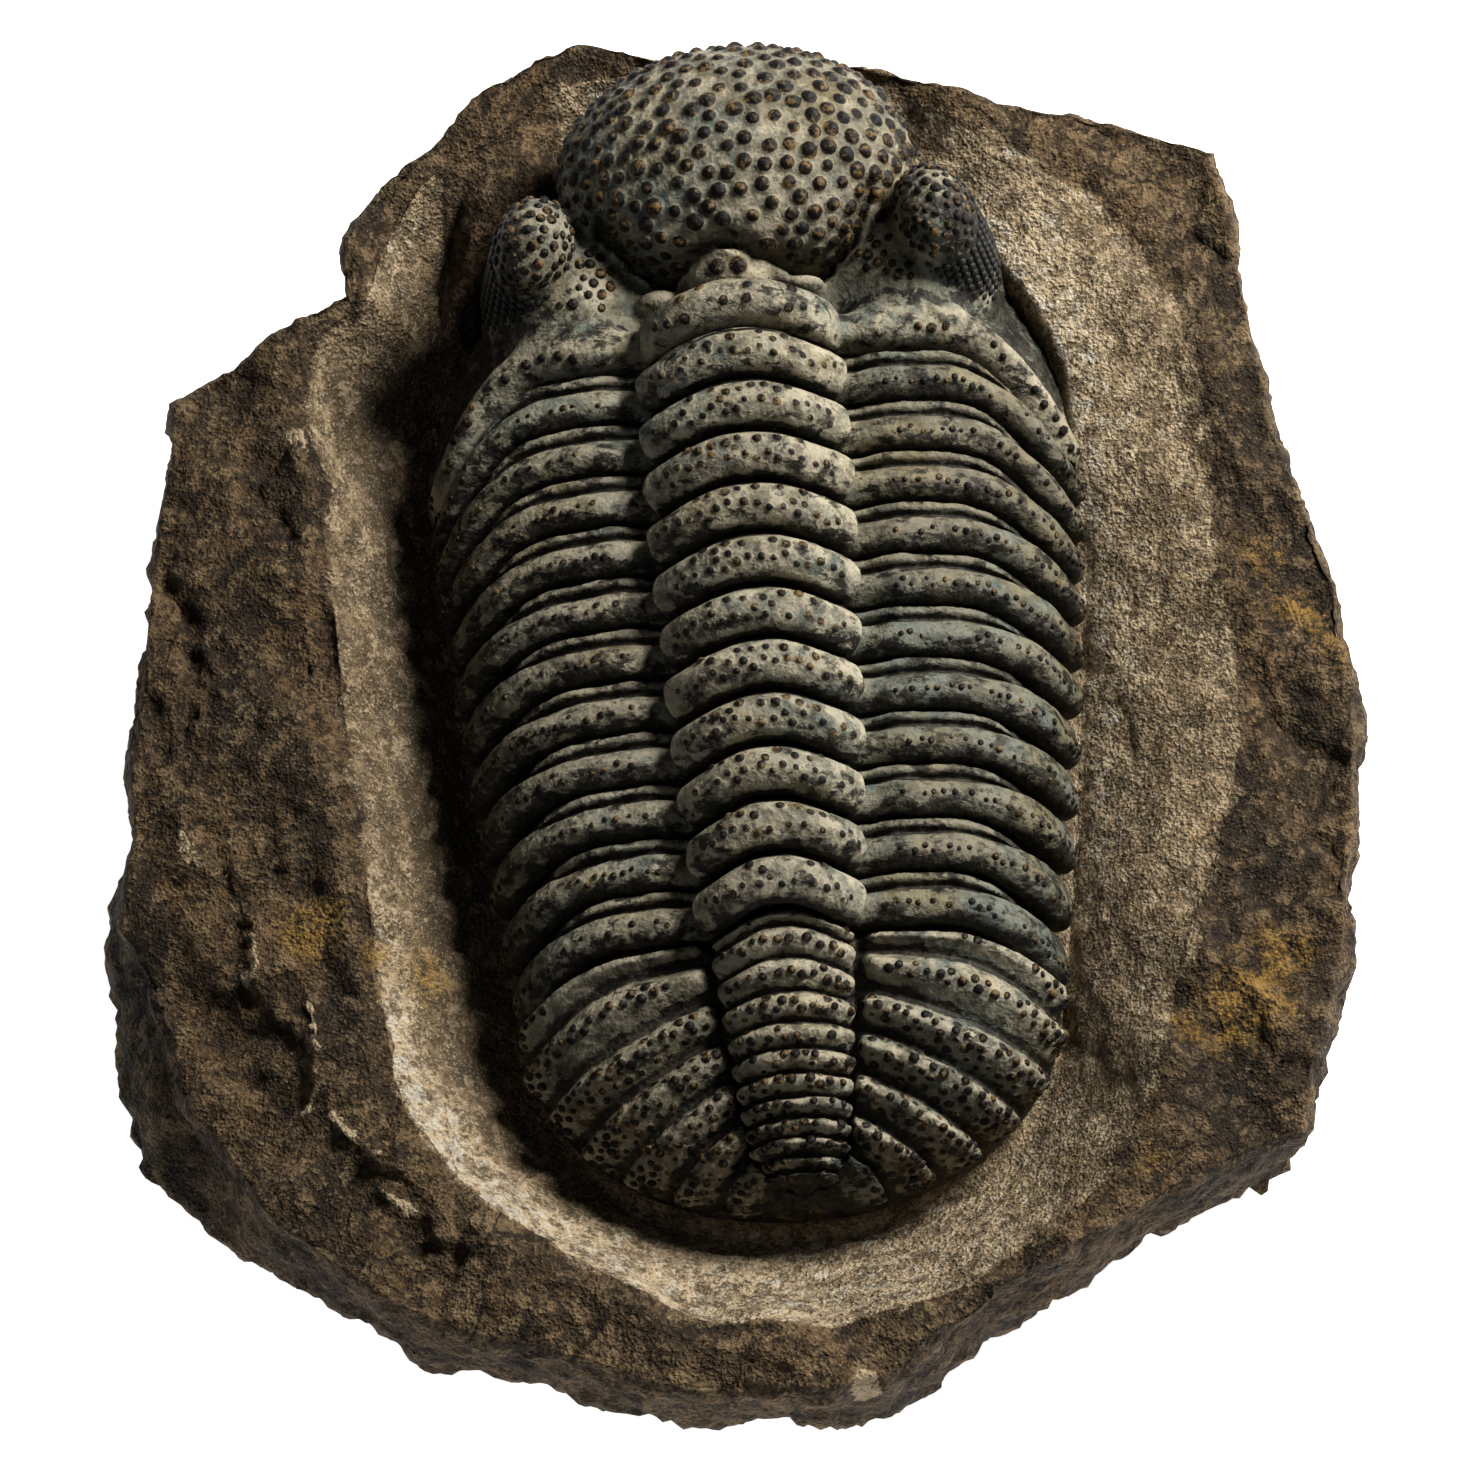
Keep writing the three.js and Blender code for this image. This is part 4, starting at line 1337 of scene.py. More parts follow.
def blob(p: Array, q: Array, z: Array, centre: tuple, size: tuple) -> Array:
    """Return about how far points lie outside an ellipsoid.

    Args:
        p: Places to the right.
        q: Places towards the head.
        z: Heights.
        centre: The ellipsoid's middle.
        size: Its half-axes.

    Returns:
        Distances in millimetres, negative inside.
    """
    parts = [(value - middle) / half for value, middle, half in zip((p, q, z), centre, size)]
    near = np.sqrt(sum(part**2 for part in parts)) + 1e-6
    steep = np.sqrt(sum((part / half) ** 2 for part, half in zip(parts, size))) + 1e-6
    return near * (near - 1) / steep


def melt(first: Array, second: Array, width: float) -> Array:
    """Return the field of two shapes that run into each other over a width."""
    share = np.clip(0.5 + 0.5 * (second - first) / width, 0.0, 1.0)
    return mix(second, first, share) - width * share * (1 - share)


def skin_of(values: Array, corner: Array, step: float) -> tuple[Array, Array]:
    """Turn a field on a grid into a closed skin of quads round its inside.

    Args:
        values: The field on the grid's points.
        corner: The place of its first point.
        step: The grid's spacing.

    Returns:
        The skin's points and its quads, which point outwards.
    """
    inside = values < 0
    shape = np.array(values.shape) - 1
    corners = [(i, j, k) for i in (0, 1) for j in (0, 1) for k in (0, 1)]

    def shifted(grid: Array, offset: tuple) -> Array:
        """Return the grid's values at one corner of every cell."""
        i, j, k = offset
        return grid[i : i + shape[0], j : j + shape[1], k : k + shape[2]]

    count = sum(shifted(inside, offset).astype(np.int8) for offset in corners)
    cells = np.argwhere((count > 0) & (count < 8))
    at = {offset: values[tuple((cells + offset).T)] for offset in corners}
    total = np.zeros((len(cells), 3))
    crossings = np.zeros(len(cells))
    for a in corners:
        for axis in range(3):
            if a[axis]:
                continue
            b = tuple(1 if k == axis else part for k, part in enumerate(a))
            crossed = (at[a] < 0) != (at[b] < 0)
            share = np.where(crossed, at[a] / np.where(crossed, at[a] - at[b], 1.0), 0.0)
            spot = np.array(a, float)[None, :] + share[:, None] * (np.array(b) - np.array(a))[None, :]
            total += np.where(crossed[:, None], spot, 0.0)
            crossings += crossed
    points = corner + step * (cells + total / crossings[:, None])
    number = np.full(shape, -1, np.int64)
    number[tuple(cells.T)] = np.arange(len(cells))
    quads = []
    for axis in range(3):
        u, v = (axis + 1) % 3, (axis + 2) % 3
        ahead = [slice(None)] * 3
        behind = [slice(None)] * 3
        ahead[axis], behind[axis] = slice(1, None), slice(None, -1)
        change = inside[tuple(ahead)].astype(np.int8) - inside[tuple(behind)].astype(np.int8)
        spots = np.argwhere(change)
        kept = (spots[:, u] > 0) & (spots[:, v] > 0) & (spots[:, u] < shape[u]) & (spots[:, v] < shape[v])
        spots = spots[kept]
        sign = change[tuple(spots.T)]
        around = []
        for du, dv in ((-1, -1), (0, -1), (0, 0), (-1, 0)):
            spot = spots.copy()
            spot[:, u] += du
            spot[:, v] += dv
            around.append(number[tuple(spot.T)])
        block = np.stack(around, axis=-1)
        block[sign > 0] = block[sign > 0][:, ::-1]
        quads.append(block)
    return points, np.concatenate(quads)


@dataclass(frozen=True)
class EyePlan:
    """A turret eye, in millimetres: a slanting band of lenses under a domed lid."""

    side: Side = Side.RIGHT
    p: float = 22.0
    q: float = 44.6
    across: float = 5.0
    along: float = 6.6
    turn: float = 0.3
    band_low: float = 34.2
    band_high: float = 44.3
    lid_top: float = 48.6
    narrowing: float = 0.22
    lean: tuple = (-0.7, 1.5)

    def local(self, p: Array, q: Array, z: Array) -> tuple[Array, Array]:
        """Return places out from the eye's middle and along it, as the band leans at a height."""
        c, s = math.cos(self.turn), math.sin(self.turn)
        x, y = p * self.side.value - self.p, q - self.q
        share = self.share(z)
        return x * c + y * s - self.lean[0] * share, y * c - x * s - self.lean[1] * share

    def share(self, z: Array) -> Array:
        """Return how far up the band a height is, from 0 to 1."""
        return np.clip((z - self.band_low) / (self.band_high - self.band_low), 0.0, 1.0)

    def wall(self, z: Array) -> Array:
        """Return the size of the band at a height, as a share of its widest."""
        share = self.share(z)
        return 1.0 - self.narrowing * share**1.3

    def reach(self, p: Array, q: Array, z: Array) -> Array:
        """Return how far out points lie, 1 being the foot of the band."""
        out, along = self.local(p, q, z)
        return np.hypot(out / self.across, along / self.along)

    def field(self, p: Array, q: Array, z: Array) -> Array:
        """Return the eye's field."""
        near = self.reach(p, q, z)
        band = np.maximum((near - self.wall(z)) * 5.0, z - self.band_high)
        band = np.maximum(band, 30.0 - z)
        out, along = self.local(p, q, np.full(1, self.band_high))
        size = (1.0 - self.narrowing) * 1.05
        middle = self.band_high - 0.9
        lid_size = (self.across * size, self.along * size, self.lid_top - middle)
        lid = blob(out, along, z, (0.0, 0.0, middle), lid_size)
        band = band + 0.45 * bell(z - self.band_high + 0.55, 0.4)
        return melt(band, lid, 0.4)

    def lens_net(self) -> tuple[Array, Array]:
        """Return the places of the eye's lenses and the way that each one faces.

        Returns:
            Layout points in millimetres, and unit vectors.
        """
        files, rows = 21, 9
        file, row = np.meshgrid(np.arange(files), np.arange(rows), indexing="ij")
        turn = np.radians(mix(-128.0, 105.0, file / (files - 1)))
        z = self.band_low + 0.7 + (row + 0.5 * (file % 2)) * 1.0
        kept = z < self.band_high - 1.0
        turn, z = turn[kept], z[kept]
        c, s = math.cos(self.turn), math.sin(self.turn)
        out = self.across * self.wall(z) * np.cos(turn) + self.lean[0] * self.share(z)
        along = self.along * self.wall(z) * np.sin(turn) + self.lean[1] * self.share(z)
        way_out, way_along = np.cos(turn) / self.across, np.sin(turn) / self.along
        slope = self.narrowing * self.across / (self.band_high - self.band_low)
        up = (slope - 0.13 * np.sin(turn)) * np.hypot(way_out, way_along)
        places = on_block(self.side.value * (self.p + out * c - along * s), self.q + out * s + along * c, z)
        facing = on_block(self.side.value * (way_out * c - way_along * s), way_out * s + way_along * c, up)
        facing = facing - on_block(0.0, 0.0, 0.0)
        return places, facing / np.linalg.norm(facing, axis=1)[:, None]


@dataclass
class HeadShield(ShellPiece):
    """The head: great warty front lobe, cheeks, turret eyes, neck ring and rear border."""

    lens_finish: Optional[bpy.types.Material] = None
    lenses: Optional[bpy.types.NodeTree] = None
    step: float = 0.33
    grid_low: tuple = (-35.0, 23.5, 24.5)
    grid_high: tuple = (35.0, 69.5, 52.5)
    genal_q: float = 25.6
    half: float = 33.4
    length: float = 32.4
    height: float = 15.2
    sole_z: float = 25.3
    front_lobe: tuple = FRONT_LOBE
    rear_lobe: tuple = ((0.0, 48.2, 38.8), (12.0, 5.2, 8.0))
    left_corner: tuple = ((-6.4, 46.4, 41.4), (4.8, 2.5, 3.8))
    right_corner: tuple = ((6.2, 45.9, 41.4), (5.2, 2.6, 3.8))
    cheek: tuple = ((17.3, 43.0, 33.3), (8.4, 9.0, 9.6))
    middle_node: tuple = ((-0.6, 41.5, 41.7), (4.3, 2.3, 3.1))
    twin_warts: tuple = ((-1.6, 41.7, 44.4), (0.5, 41.7, 44.4))
    twin_wart_size: tuple = (1.0, 0.9, 0.95)
    side_nodes: tuple = (((-7.9, 40.5, 39.7), (2.3, 1.2, 1.7)), ((6.9, 41.1, 39.8), (2.1, 1.0, 1.8)))
    eyes: tuple = (EyePlan(Side.LEFT, p=21.4, q=44.7), EyePlan(Side.RIGHT))
    furrows: tuple = (
        ((-13.6, 48.0), (-10.2, 44.6), (-6.8, 42.6), (-3.4, 43.6), (-0.6, 44.3)),
        ((-0.6, 44.3), (2.2, 43.3), (5.7, 42.5), (8.9, 42.6), (12.2, 45.0), (14.5, 49.0)),
    )
    furrow_depth: float = 1.15
    furrow_width: float = 0.65

    @staticmethod
    def arch(p: Array, q: Array, z: Array) -> tuple[Array, Array, Array]:
        """Return the column and the push of points against the arch at the back of the head.

        The third result is how far forward of the middle of the neck ring each point is.
        """
        station = RINGS.station(0)
        side = np.abs(p)
        inner = np.clip(side / station.axis, 0.0, 1.0)
        crown = station.furrow_z + station.rise * (1 - inner**AXIS_SQUARENESS) ** AXIS_FULLNESS
        out = np.clip((side - station.axis) / (station.half - station.axis), 0.0, None)
        up = np.clip((z - MARGIN_Z) / (station.furrow_z - MARGIN_Z), 0.0, None)
        near = (out**PLEURA_SQUARENESS + up**PLEURA_SQUARENESS) ** (1 / PLEURA_SQUARENESS) + 1e-6
        sine = np.clip(out / near, 0.0, 1.0) ** (PLEURA_SQUARENESS / 2)
        column = np.where(side < station.axis, inner, 1 + np.arcsin(sine) * 2 / np.pi)
        size = np.hypot(out * (station.half - station.axis), up * (station.furrow_z - MARGIN_Z))
        push = np.where(side < station.axis, z - crown, (near - 1) * size / near)
        swept = mix(station.furrow_q, station.margin_q, pleura_sweep(np.clip(column - 1, 0.0, 1.0)))
        return column, push, q - mix(station.crest_q, swept, ease(0.0, 1.0, column))

    def fields(self, p: Array, q: Array, z: Array) -> Array:
        """Return the head's field."""
        column, push, behind = self.arch(p, q, z)
        reach = np.sqrt((p / self.half) ** 2 + ((q - self.genal_q) / self.length) ** 2)
        up = np.clip((z - MARGIN_Z) / self.height, 0.0, None)
        base = ((reach**PLEURA_SQUARENESS + up**PLEURA_SQUARENESS) ** (1 / PLEURA_SQUARENESS) - 1) * 15.0
        base = np.maximum(base, -2.2 - behind)
        on_axis = 1 - ease(0.9, 1.06, column)
        long_way, high_way = (behind + 0.1) / mix(2.1, 2.5, on_axis), (push + 1.2) / mix(2.3, 2.75, on_axis)
        roll = (np.hypot(long_way, high_way) - 1) * 2.3
        roll = roll + 0.5 * bell(column - 1.0, 0.05)
        shape = melt(base, roll, 0.5)
        for side in (-1, 1):
            (cp, cq, cz), size = self.cheek
            shape = melt(shape, blob(p, q, z, (side * cp, cq, cz), size), 3.0)
        front = melt(blob(p, q, z, *self.front_lobe), blob(p, q, z, *self.rear_lobe), 3.0)
        for corner in (self.left_corner, self.right_corner):
            front = melt(front, blob(p, q, z, *corner), 1.5)
        for node in self.side_nodes:
            shape = melt(shape, blob(p, q, z, *node), 1.2)
        middle = blob(p, q, z, *self.middle_node)
        for place in self.twin_warts:
            middle = melt(middle, blob(p, q, z, place, self.twin_wart_size), 0.3)
        shape = melt(shape, middle, 0.5)
        shape = melt(shape, front, 0.5)
        for line in self.furrows:
            furrow = bell(off_line(p, q, line), self.furrow_width) * ease(36.0, 38.0, z)
            shape = shape + self.furrow_depth * furrow
        for eye in self.eyes:
            shape = melt(shape, eye.field(p, q, z), 0.9)
        return np.maximum(shape, self.sole_z - z)

    def build(self) -> bpy.types.Object:
        """Return the finished head, with its lenses as a piece of their own."""
        low = np.array(self.grid_low)
        counts = np.ceil((np.array(self.grid_high) - low) / self.step).astype(int)
        axes = [low[k] + self.step * np.arange(counts[k]) for k in range(3)]
        values = self.fields(axes[0][:, None, None], axes[1][None, :, None], axes[2][None, None, :])
        spots, quads = skin_of(values, low, self.step)
        p, q, z = spots.T
        points = on_block(p, q, z)
        if volume_of(points, [quads]) < 0:
            quads = quads[:, ::-1]
        piece = fine_object("head_shell", points, [quads], self.masks(p, q, z))
        self.dress(piece)
        self.build_lenses()
        return piece

    def masks(self, p: Array, q: Array, z: Array) -> dict[str, Array]:
        """Return where the head is low, old-skinned, pitted and warty, with painted shade in its furrows and
        on the front lobe's lower flanks.
        """
        side = np.abs(p)
        parts = (self.front_lobe, self.rear_lobe, self.left_corner, self.right_corner)
        front = np.min([blob(p, q, z, *part) for part in parts], axis=0)
        lobe = ease(0.9, 0.25, front) * ease(31.0, 34.0, z)
        column, push, behind = self.arch(p, q, z)
        rear = ease(4.2, 2.8, behind)
        near = np.minimum(*(eye.reach(p, q, z) for eye in self.eyes))
        out = np.minimum(*(np.abs(eye.local(p, q, z)[0] + 5.2) for eye in self.eyes))
        high = self.eyes[0].band_high
        lid = ease(0.9, 0.82, near) * ease(high - 0.2, high + 0.5, z)
        band = ease(1.12, 1.02, near) * ease(high, high - 0.5, z) * ease(33.5, 35.5, z) * (1 - lobe)
        cluster = ease(4.0, 3.2, out) * ease(0.95, 1.0, near) * ease(2.3, 2.1, near) * ease(38.0, 39.0, z)
        cluster = cluster * (1 - lobe) * (1 - rear) * ease(39.4, 40.0, q) * ease(48.0, 47.0, q)
        outer = ease(23.0, 26.5, side) * (1 - rear) * (1 - band)
        row = (np.abs(behind + 0.9) < 0.5) & (push > 0.0)
        ring_spots = row & (column < 0.88)
        border_spots = (np.abs(behind + 0.9) < 0.3) & (push > 0.0) & (column > 1.08) & (column < 1.9)
        upper = (np.abs(behind - 0.8) < 0.5) & (push > 0.0) & (column < 0.6)
        warts = (lobe > 0.5) & (q > 45.2 - 2.6 * ease(2.0, 5.5, np.abs(p + 0.5)))
        # The low mask is painted shade: in the furrows round the front lobe, on the lobe's lower flanks and
        # in front of the neck ring.
        low = 0.15 * ease(1.0, 2.6, behind) * ease(5.0, 3.4, behind) * (1 - lobe) * (column < 1.8)
        low = np.maximum(low, 0.7 * ease(37.0, 33.0, z) * lobe)
        for line in self.furrows:
            low = np.maximum(low, 0.45 * bell(off_line(p, q, line), 0.8) * (z > 37.0))
        patina = 0.34 + 0.14 * outer + 0.1 * ease(40.0, 34.0, z) * (1 - rear) + 0.1 * rear
        edge = ease(12.0, 18.0, np.abs(p - 0.8)) * lobe
        patina = np.maximum(patina, 0.31 + 0.17 * edge + 0.08 * ease(60.0, 66.0, q) * lobe)
        turret = ease(1.15, 1.0, near) * ease(36.0, 38.0, z) * (1 - lobe)
        shaded = ease(-1.5, 2.0, side - self.eyes[0].p)
        patina = mix(patina, 0.42 + 0.16 * shaded, turret)
        worn = mix(0.8, 1.0, lobe) - 0.6 * outer - 0.3 * turret
        twins = [bell(p - x, 0.8) * bell(q - y, 0.8) * (z > 43.6) for x, y, _ in self.twin_warts]
        knobs = [bell(p - x, 1.1) * bell(q - y, 1.0) * (z > 40.8) for (x, y, _), _ in self.side_nodes]
        return {
            "low": low * (1 - band),
            "patina": patina,
            "wart": np.maximum(np.maximum(*twins), 0.12 * np.maximum(*knobs)),
            "worn": np.clip(worn, 0.0, 1.0),
            "warts": warts.astype(float),
            "more_warts": (ring_spots | upper).astype(float),
            "small_warts": np.clip(border_spots + lid + cluster, 0.0, 1.0),
            "rough": 0.6 + 2.4 * outer * (z < 40.0) + 0.6 * turret,
        }

    def dress(self, piece: bpy.types.Object) -> None:
        """Weather the head, raise its warts and tie it to the frame."""
        self.weather(piece, 21, 0.18, 0.6, 0.35)
        self.raise_warts(piece, "warts", 22, 1.82, 0.98, 0.6)
        self.raise_warts(piece, "more_warts", 23, 1.45, 0.66, 0.36)
        self.raise_warts(piece, "small_warts", 24, 1.08, 0.52)
        self.settle(piece, ["head_shield"], Slot.SHELL)

    def build_lenses(self) -> bpy.types.Object:
        """Return the lenses of both eyes as one piece."""
        nets = [eye.lens_net() for eye in self.eyes]
        places = np.concatenate([net[0] for net in nets])
        facing = np.concatenate([net[1] for net in nets])
        mesh = bpy.data.meshes.new("eye_lenses")
        mesh.from_pydata(((places - LAYOUT_MIDDLE) * MM).tolist(), [], [])
        outward = mesh.attributes.new("outward", "FLOAT_VECTOR", "POINT")
        outward.data.foreach_set("vector", facing.astype(np.float32).ravel())
        piece = bpy.data.objects.new("eye_lenses", mesh)
        bpy.context.scene.collection.objects.link(piece)
        run_tree(piece, self.lenses, {"Material": self.lens_finish, "Radius": 0.5 * MM, "Bulge": 0.72})
        self.settle(piece, [], Slot.SHELL)
        return piece


# The block


@dataclass
class RockMatrix(ShellPiece):
    """The block of limestone: broken natural faces, and a dish cut round the animal."""

    spokes: int = 620
    centre: tuple = (2.0, 5.0)
    undercut: float = 5.0
    undercut_swing: float = 4.0
    edge_round: float = 1.6
    side_lumps: float = 1.5
    face_lumps: float = 0.7
    dish_foot: float = 0.8
    chipped_corner: tuple = (216.0, 14.0, 7.0)
    waist_z: float = 24.0
    brow_z: float = FACE_Z - 2.4

    # Where the dish was left shallow, beside the head: degrees, spread and rise of its floor
    filled_side: tuple = (60.0, 33.0, 9.5)

    # Where the edge of the cut rock is worn soft: degrees and spread
    soft_edge: tuple = (38.0, 36.0)

    # The block's widest outline from above, anticlockwise from the right-hand corner by the head
    outline: tuple = (
        (50.5, 62.5), (36, 66), (24.5, 68), (12.5, 71.5), (0, 72.2), (-9, 72.8), (-16.5, 75.3), (-21.5, 73),
        (-27.5, 70), (-32.5, 63), (-38, 58.5), (-42, 51), (-41, 46.5), (-48.5, 42), (-59, 34.5), (-61, 16),
        (-63, -14), (-66, -24.5), (-64.5, -34), (-62, -45), (-50.5, -54.5), (-32.5, -64.5), (-15, -69.5),
        (-4, -73), (9, -72.3), (15, -71), (26, -62.3), (33, -58.5), (47, -50), (56.5, -45.5), (61.3, -26),
        (63.5, -3), (62, 14), (56, 31.5), (52.5, 51.5),
    )

    # The upper edge of the dish, in the same order
    rim: tuple = (
        (46, 44), (40, 54), (28, 61), (14, 68.5), (-9, 69.5), (-17, 70), (-24, 64), (-33, 58), (-36.5, 52),
        (-38, 45), (-43.5, 42), (-44.5, 33), (-42.3, 26), (-41.3, 14), (-39.8, 0), (-37.8, -12),
        (-35.9, -27), (-33.5, -41), (-26, -51), (-15, -58), (-3, -64.3), (9, -65), (22, -61),
        (33, -53.5), (39.5, -44.5), (44, -29), (48, -16), (51, -1), (49, 15), (47.5, 30),
    )

    # Rises and falls of the natural face: x, y, half-widths across and along, and rise
    swells: tuple = (
        (58, 0, 21, 75, -7.5), (-25, 58, 9, 13, 1.5), (52, -20, 16, 24, 1.2), (-58, -42, 16, 18, -4),
        (50, 55, 18, 14, -2.2),
    )

    # The lump left standing by the head: x, y, half-widths, rise, and how far it stands above the face
    lump: tuple = (-24.5, 56, 7.2, 14.5, 11.5, 1.5)

    # Rust stains: x, y, half-width and strength
    rust_spots: tuple = (
        (-42.5, -23, 5, 0.6), (-31, -27, 4, 0.62), (53.9, 17.3, 3, 0.6), (57, 11.4, 4, 0.58),
        (61, 6.7, 4, 0.56), (50.2, -31.2, 6, 0.62), (54.2, -26.0, 4, 0.6), (46.0, -34.0, 4, 0.55),
        (40.4, -47.9, 3, 0.5), (35.6, 4.3, 4, 0.48), (-36, -27, 4, 0.5), (47, -12, 4, 0.45),
    )

    # Pale chipped places: x, y, half-width and strength
    chip_spots: tuple = (
        (12.5, -70.5, 1.6, 0.8), (-44, 30, 4, 0.5),
        (21.4, 59, 3, 0.62), (35, 13, 2, 0.55), (43.3, -27.5, 2, 0.5),
    )

    # Cracks: points of a line, and how deep it is cut
    cracks: tuple = (
        (((-52.4, -12.9), (-50.2, -20.4), (-49.5, -25.6), (-48.4, -31.9)), 1.6),
        (((-58.2, 14.1), (-55.3, 9.6), (-55.2, -1.2)), 1.4),
        (((-53.4, 4.0), (-53.5, 0.5)), 1.0),
        (((-59.5, 1.2), (-57.4, -5.4)), 1.0),
        (((-43.8, -13.1), (-42.6, -20.5)), 1.1),
        (((-42.9, 12.0), (-41.4, 4.6)), 1.3),
        (((-29.3, -64.8), (-28.0, -58.0), (-26.6, -52.8)), 1.6),
    )

    # Pale broken ridges: points of a line, and how far it stands up
    ridges: tuple = (
        (((-42.6, -29.6), (-42.1, -35.1), (-41.5, -40.0), (-43.3, -42.2)), 0.7),
        (((-40.0, -42.3), (-36.2, -46.9)), 0.7),
        (((-35.0, -50.2), (-31.6, -53.1)), 0.6),
        (((-49.0, -22.0), (-48.6, -28.5)), 0.6),
        (((-56.5, -12.8), (-54.3, -16.6)), 0.4),
    )

    # How pale the cut rock and the natural rock are, by direction: degrees anticlockwise from the right
    cut_paleness: tuple = (
        (0, 0.58), (45, 0.68), (90, 0.9), (140, 0.6), (180, 0.36), (205, 0.48), (235, 1.3), (270, 0.95),
        (320, 0.55), (360, 0.58),
    )
    natural_paleness: tuple = (
        (0, 0.16), (30, 0.4), (55, 0.65), (90, 0.45), (135, 0.34), (180, 0.12), (220, 0.28), (262, 0.62),
        (290, 0.4), (318, 0.08), (345, 0.1), (360, 0.16),
    )

    def reach(self, outline: tuple, ways: Array) -> Array:
        """Return how far an outline reaches from the block's centre along each way."""
        far = np.zeros(len(ways))
        corners = np.array(outline, float) - np.array(self.centre)
        for start, stop in zip(corners, np.roll(corners, -1, axis=0)):
            edge = stop - start
            against = ways[:, 0] * edge[1] - ways[:, 1] * edge[0]
            against = np.where(np.abs(against) < 1e-9, 1e-9, against)
            along = (start[0] * ways[:, 1] - start[1] * ways[:, 0]) / against
            distance = (start[0] * edge[1] - start[1] * edge[0]) / against
            hit = (along >= 0) & (along <= 1) & (distance > far)
            far = np.where(hit, distance, far)
        return far

    def foot(self) -> list[tuple[float, float]]:
        """Return the line where the shell's margin meets the rock, round the whole animal."""
        tail = TailShield(self.finish, self.warts, self.small_warts, self.surface)
        right = []
        for angle in np.linspace(np.pi / 2, 0.25, 12):
            right.append((33.4 * math.cos(angle), mix(25.6, 58.0, math.sin(angle))))
        for number in range(1, RING_COUNT + 1):
            station = RINGS.station(number)
            right.append((station.half, station.margin_q))
        for along in (0.1, 0.3, 0.5, 0.7, 0.85, 1.0):
            station = tail.station(np.array(along))
            right.append((float(station.half), float(station.margin_q)))
        left = [(-p, q) for p, q in right[1:-1]]
        return [tuple(on_block(p, q, 0.0)[:2]) for p, q in right + left[::-1]]

    @staticmethod
    def lumps(x: Array, y: Array, z: Number) -> Array:
        """Return the block's broad unevenness, between about -1 and 1."""
        first = np.sin(0.52 * x + 2.3 * np.sin(0.21 * y + 0.5))
        second = np.sin(0.47 * y - 1.9 * np.sin(0.26 * x - 1.1))
        return (first + second + np.sin(0.61 * z + 0.33 * x + 0.29 * y)) / 2.4

    def face(self, x: Array, y: Array) -> Array:
        """Return the height of the natural face."""
        z = FACE_Z + self.face_lumps * self.lumps(x, y, 0.0)
        for cx, cy, across, along, rise in self.swells:
            z = z + rise * bell(x - cx, across) * bell(y - cy, along)
        for line, depth in self.cracks:
            z = z - 0.75 * depth * bell(self.off_ragged(x, y, line), 0.6)
        for line, height in self.ridges:
            z = z + height * bell(self.off_ragged(x, y, line), 0.9)
        return z

    @staticmethod
    def off_ragged(x: Array, y: Array, line: tuple) -> Array:
        """Return how far points lie from a line that wavers about some places."""
        waver = 0.42 * np.sin(1.1 * x + 0.7 * y) + 0.18 * np.sin(2.9 * y - 1.7 * x)
        return off_line(x + waver, y, line)

    def build(self) -> bpy.types.Object:
        """Return the finished block."""
        angle = np.linspace(0, 2 * np.pi, self.spokes, endpoint=False)
        ways = np.stack([np.cos(angle), np.sin(angle)], axis=-1)
        undercut = self.undercut - self.undercut_swing * (ways[:, 0] + ways[:, 1])
        degrees, spread, depth = self.chipped_corner
        chipped = depth * bell(np.degrees(angle) - degrees, spread)
        gentle = ease(0.1, 0.8, ways[:, 0] + 0.3 * ways[:, 1])[:, None]
        edge = self.reach(self.outline, ways)
        shoulder = edge - self.edge_round - chipped
        rim = np.minimum(self.reach(self.rim, ways), shoulder - 1)
        rim = np.convolve(np.concatenate([rim[-4:], rim, rim[:4]]), np.full(9, 1 / 9), "valid")
        bed = self.reach(self.foot(), ways)

        def turned_from(degrees: float) -> Array:
            """Return how far each spoke is turned from a direction, in degrees."""
            return ((np.degrees(angle) - degrees + 180) % 360 - 180)[:, None]

        def places(r: Array) -> tuple[Array, Array]:
            """Return x and y at distances along each spoke."""
            return self.centre[0] + ways[:, :1] * r, self.centre[1] + ways[:, 1:] * r

        blocks: list[Array] = []
        looks: dict[str, list[Array]] = {"rough": [], "prepared": [], "paleness": []}
        tables = (self.natural_paleness, self.cut_paleness)
        natural_pale, cut_pale = (np.interp(np.degrees(angle), *zip(*table))[:, None] for table in tables)

        def stretch(r: Array, z: Array, rough: Number, cut: Number, pale: Number) -> None:
            """Add stops along every spoke."""
            x, y = places(r)
            blocks.append(np.stack([x, y, z + 0 * x], axis=-1))
            for look, value in zip(looks.values(), (rough, cut, pale)):
                look.append(value + 0 * x)

        def share_cut(r: Array) -> Array:
            """Return how far the rock was cut at distances along each spoke, inside a torn edge."""
            x, y = places(r)
            torn = 0.6 * uneven(x, y, 0.0, 6.0, 2) + 0.35 * uneven(x, y, 0.0, 1.7, 4)
            blur = mix(0.5, 3.5, bell(turned_from(self.soft_edge[0]), self.soft_edge[1]))
            return ease(1.0, -1.0, (r - rim[:, None] + torn) / blur)

